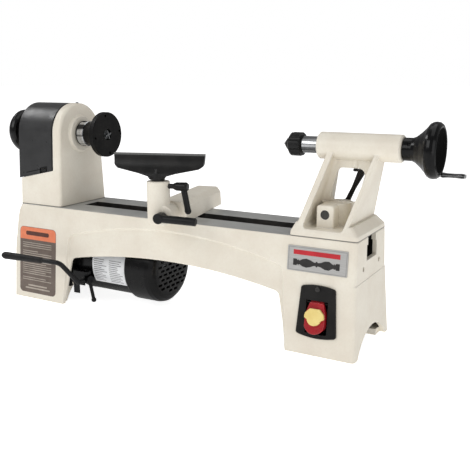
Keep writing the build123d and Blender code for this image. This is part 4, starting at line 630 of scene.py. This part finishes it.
def motor_label():
    """Silver data label wrapped on the motor's barrel, with plain grey lines."""
    def patch(work, xa, xb, start, end, low, high, around=16):
        """Curved slab from angle start to end, in degrees up from the front."""
        def place(x, angle, out):
            turn = math.radians(angle)
            radius = MOTOR_R + out
            return Vector((x, MOTOR_Y - radius * math.cos(turn), MOTOR_Z + radius * math.sin(turn)))
        rows = []
        for step in range(around + 1):
            angle = start + (end - start) * step / around
            rows.append([work.verts.new(place(x, angle, out)) for x, out in
                         ((xa, low), (xb, low), (xb, high), (xa, high))])
        for one, two in zip(rows, rows[1:]):
            for index in range(4):
                after = (index + 1) % 4
                work.faces.new((one[index], one[after], two[after], two[index]))
        work.faces.new(rows[0])
        work.faces.new(list(reversed(rows[-1])))

    def base(work):
        patch(work, -0.1710, -0.1000, -32, 40, *BARREL_FILM)

    def lines(work):
        rng = random.Random(9)
        line_turn, line_pitch = 1.3, 3.6
        for xa, xb in ((-0.1675, -0.1375), (-0.1340, -0.1035)):
            angle = 12.0
            while angle > -28:
                length = (xb - xa) * rng.uniform(0.55, 1.0)
                patch(work, xa, xa + length, angle, angle + line_turn, *INK, around=2)
                angle -= line_pitch
        patch(work, -0.1530, -0.1180, 22, 30, *INK, around=4)

    silver = sheet_print("label_silver", rgb(232, 233, 234), rgb(214, 216, 218), 0.38, 0.2)
    new_piece("motor_label_base", base, silver, "motor")
    grey = sheet_print("label_grey", rgb(132, 132, 134), rgb(112, 112, 114))
    new_piece("motor_label_lines", lines, grey, "motor")


leg_label()
badge_art()
motor_label()


# ------------------------------------------------------------ floor and light

def floor():
    """Pale floor, a wide plate that glows a little like a light table."""
    mesh = bpy.data.meshes.new("studio_floor")
    work = bmesh.new()
    turns = [math.tau * step / 48 for step in range(48)]
    work.faces.new([work.verts.new((FLOOR_R * math.cos(turn), FLOOR_R * math.sin(turn), FLOOR_Z))
                    for turn in turns])
    work.to_mesh(mesh)
    work.free()
    n = Nodes("floor_pale")
    n.to("Base Color", n.mix(n.remap(n.noise(3, 2), 0.3, 0.7), rgb(246, 246, 246), rgb(243, 243, 243)))
    n.set(Roughness=0.9, Emission_Color=(1.0, 1.0, 1.0, 1.0))
    path = n.add("ShaderNodeLightPath")
    glow = n.mix_value(path.outputs["Is Glossy Ray"], FLOOR_GLOW, FLOOR_TO_GLOSS)
    n.to("Emission Strength", n.mix_value(path.outputs["Is Camera Ray"], glow, FLOOR_TO_EYE))
    mesh.materials.append(n.material)
    ground = bpy.data.objects.new("studio_floor", mesh)
    bpy.context.scene.collection.objects.link(ground)


def area_light(name, place, target, size, power):
    """Rectangular soft light aimed at a point."""
    light = bpy.data.lights.new(name, "AREA")
    light.shape = "RECTANGLE"
    light.size, light.size_y = size
    light.energy = power
    lamp = bpy.data.objects.new(name, light)
    lamp.location = place
    lamp.rotation_euler = (Vector(target) - Vector(place)).to_track_quat("-Z", "Y").to_euler()
    bpy.context.scene.collection.objects.link(lamp)


def world():
    """White to the eye, dimmer as a source of light, and dimmer again in reflections."""
    space = bpy.data.worlds.new("studio")
    bpy.context.scene.world = space
    space.use_nodes = True
    tree = space.node_tree
    back = tree.nodes["Background"]
    path = tree.nodes.new("ShaderNodeLightPath")
    strength = None
    for ray, value in (("Is Glossy Ray", WORLD_TO_GLOSS), ("Is Camera Ray", WORLD_TO_EYE)):
        mix = tree.nodes.new("ShaderNodeMix")
        mix.data_type = "FLOAT"
        factor, first, second = [s for s in mix.inputs if s.type == "VALUE"]
        tree.links.new(path.outputs[ray], factor)
        first.default_value = WORLD_GLOW
        if strength:
            tree.links.new(strength, first)
        second.default_value = value
        strength = [s for s in mix.outputs if s.type == "VALUE"][0]
    tree.links.new(strength, back.inputs["Strength"])
    back.inputs["Color"].default_value = (1.0, 1.0, 1.0, 1.0)


def camera():
    """The scene's camera."""
    lens = bpy.data.cameras.new("view")
    lens.sensor_width = SENSOR
    lens.lens = LENS
    lens.clip_end = 50.0
    eye = bpy.data.objects.new("view", lens)
    eye.location = EYE
    eye.rotation_euler = (math.radians(90.0 - EYE_DOWN), 0.0, math.radians(EYE_LEFT))
    bpy.context.scene.collection.objects.link(eye)
    bpy.context.scene.camera = eye


floor()
world()
camera()
bpy.context.scene.view_settings.view_transform = "Standard"
for light_row in LIGHTS:
    area_light(*light_row)
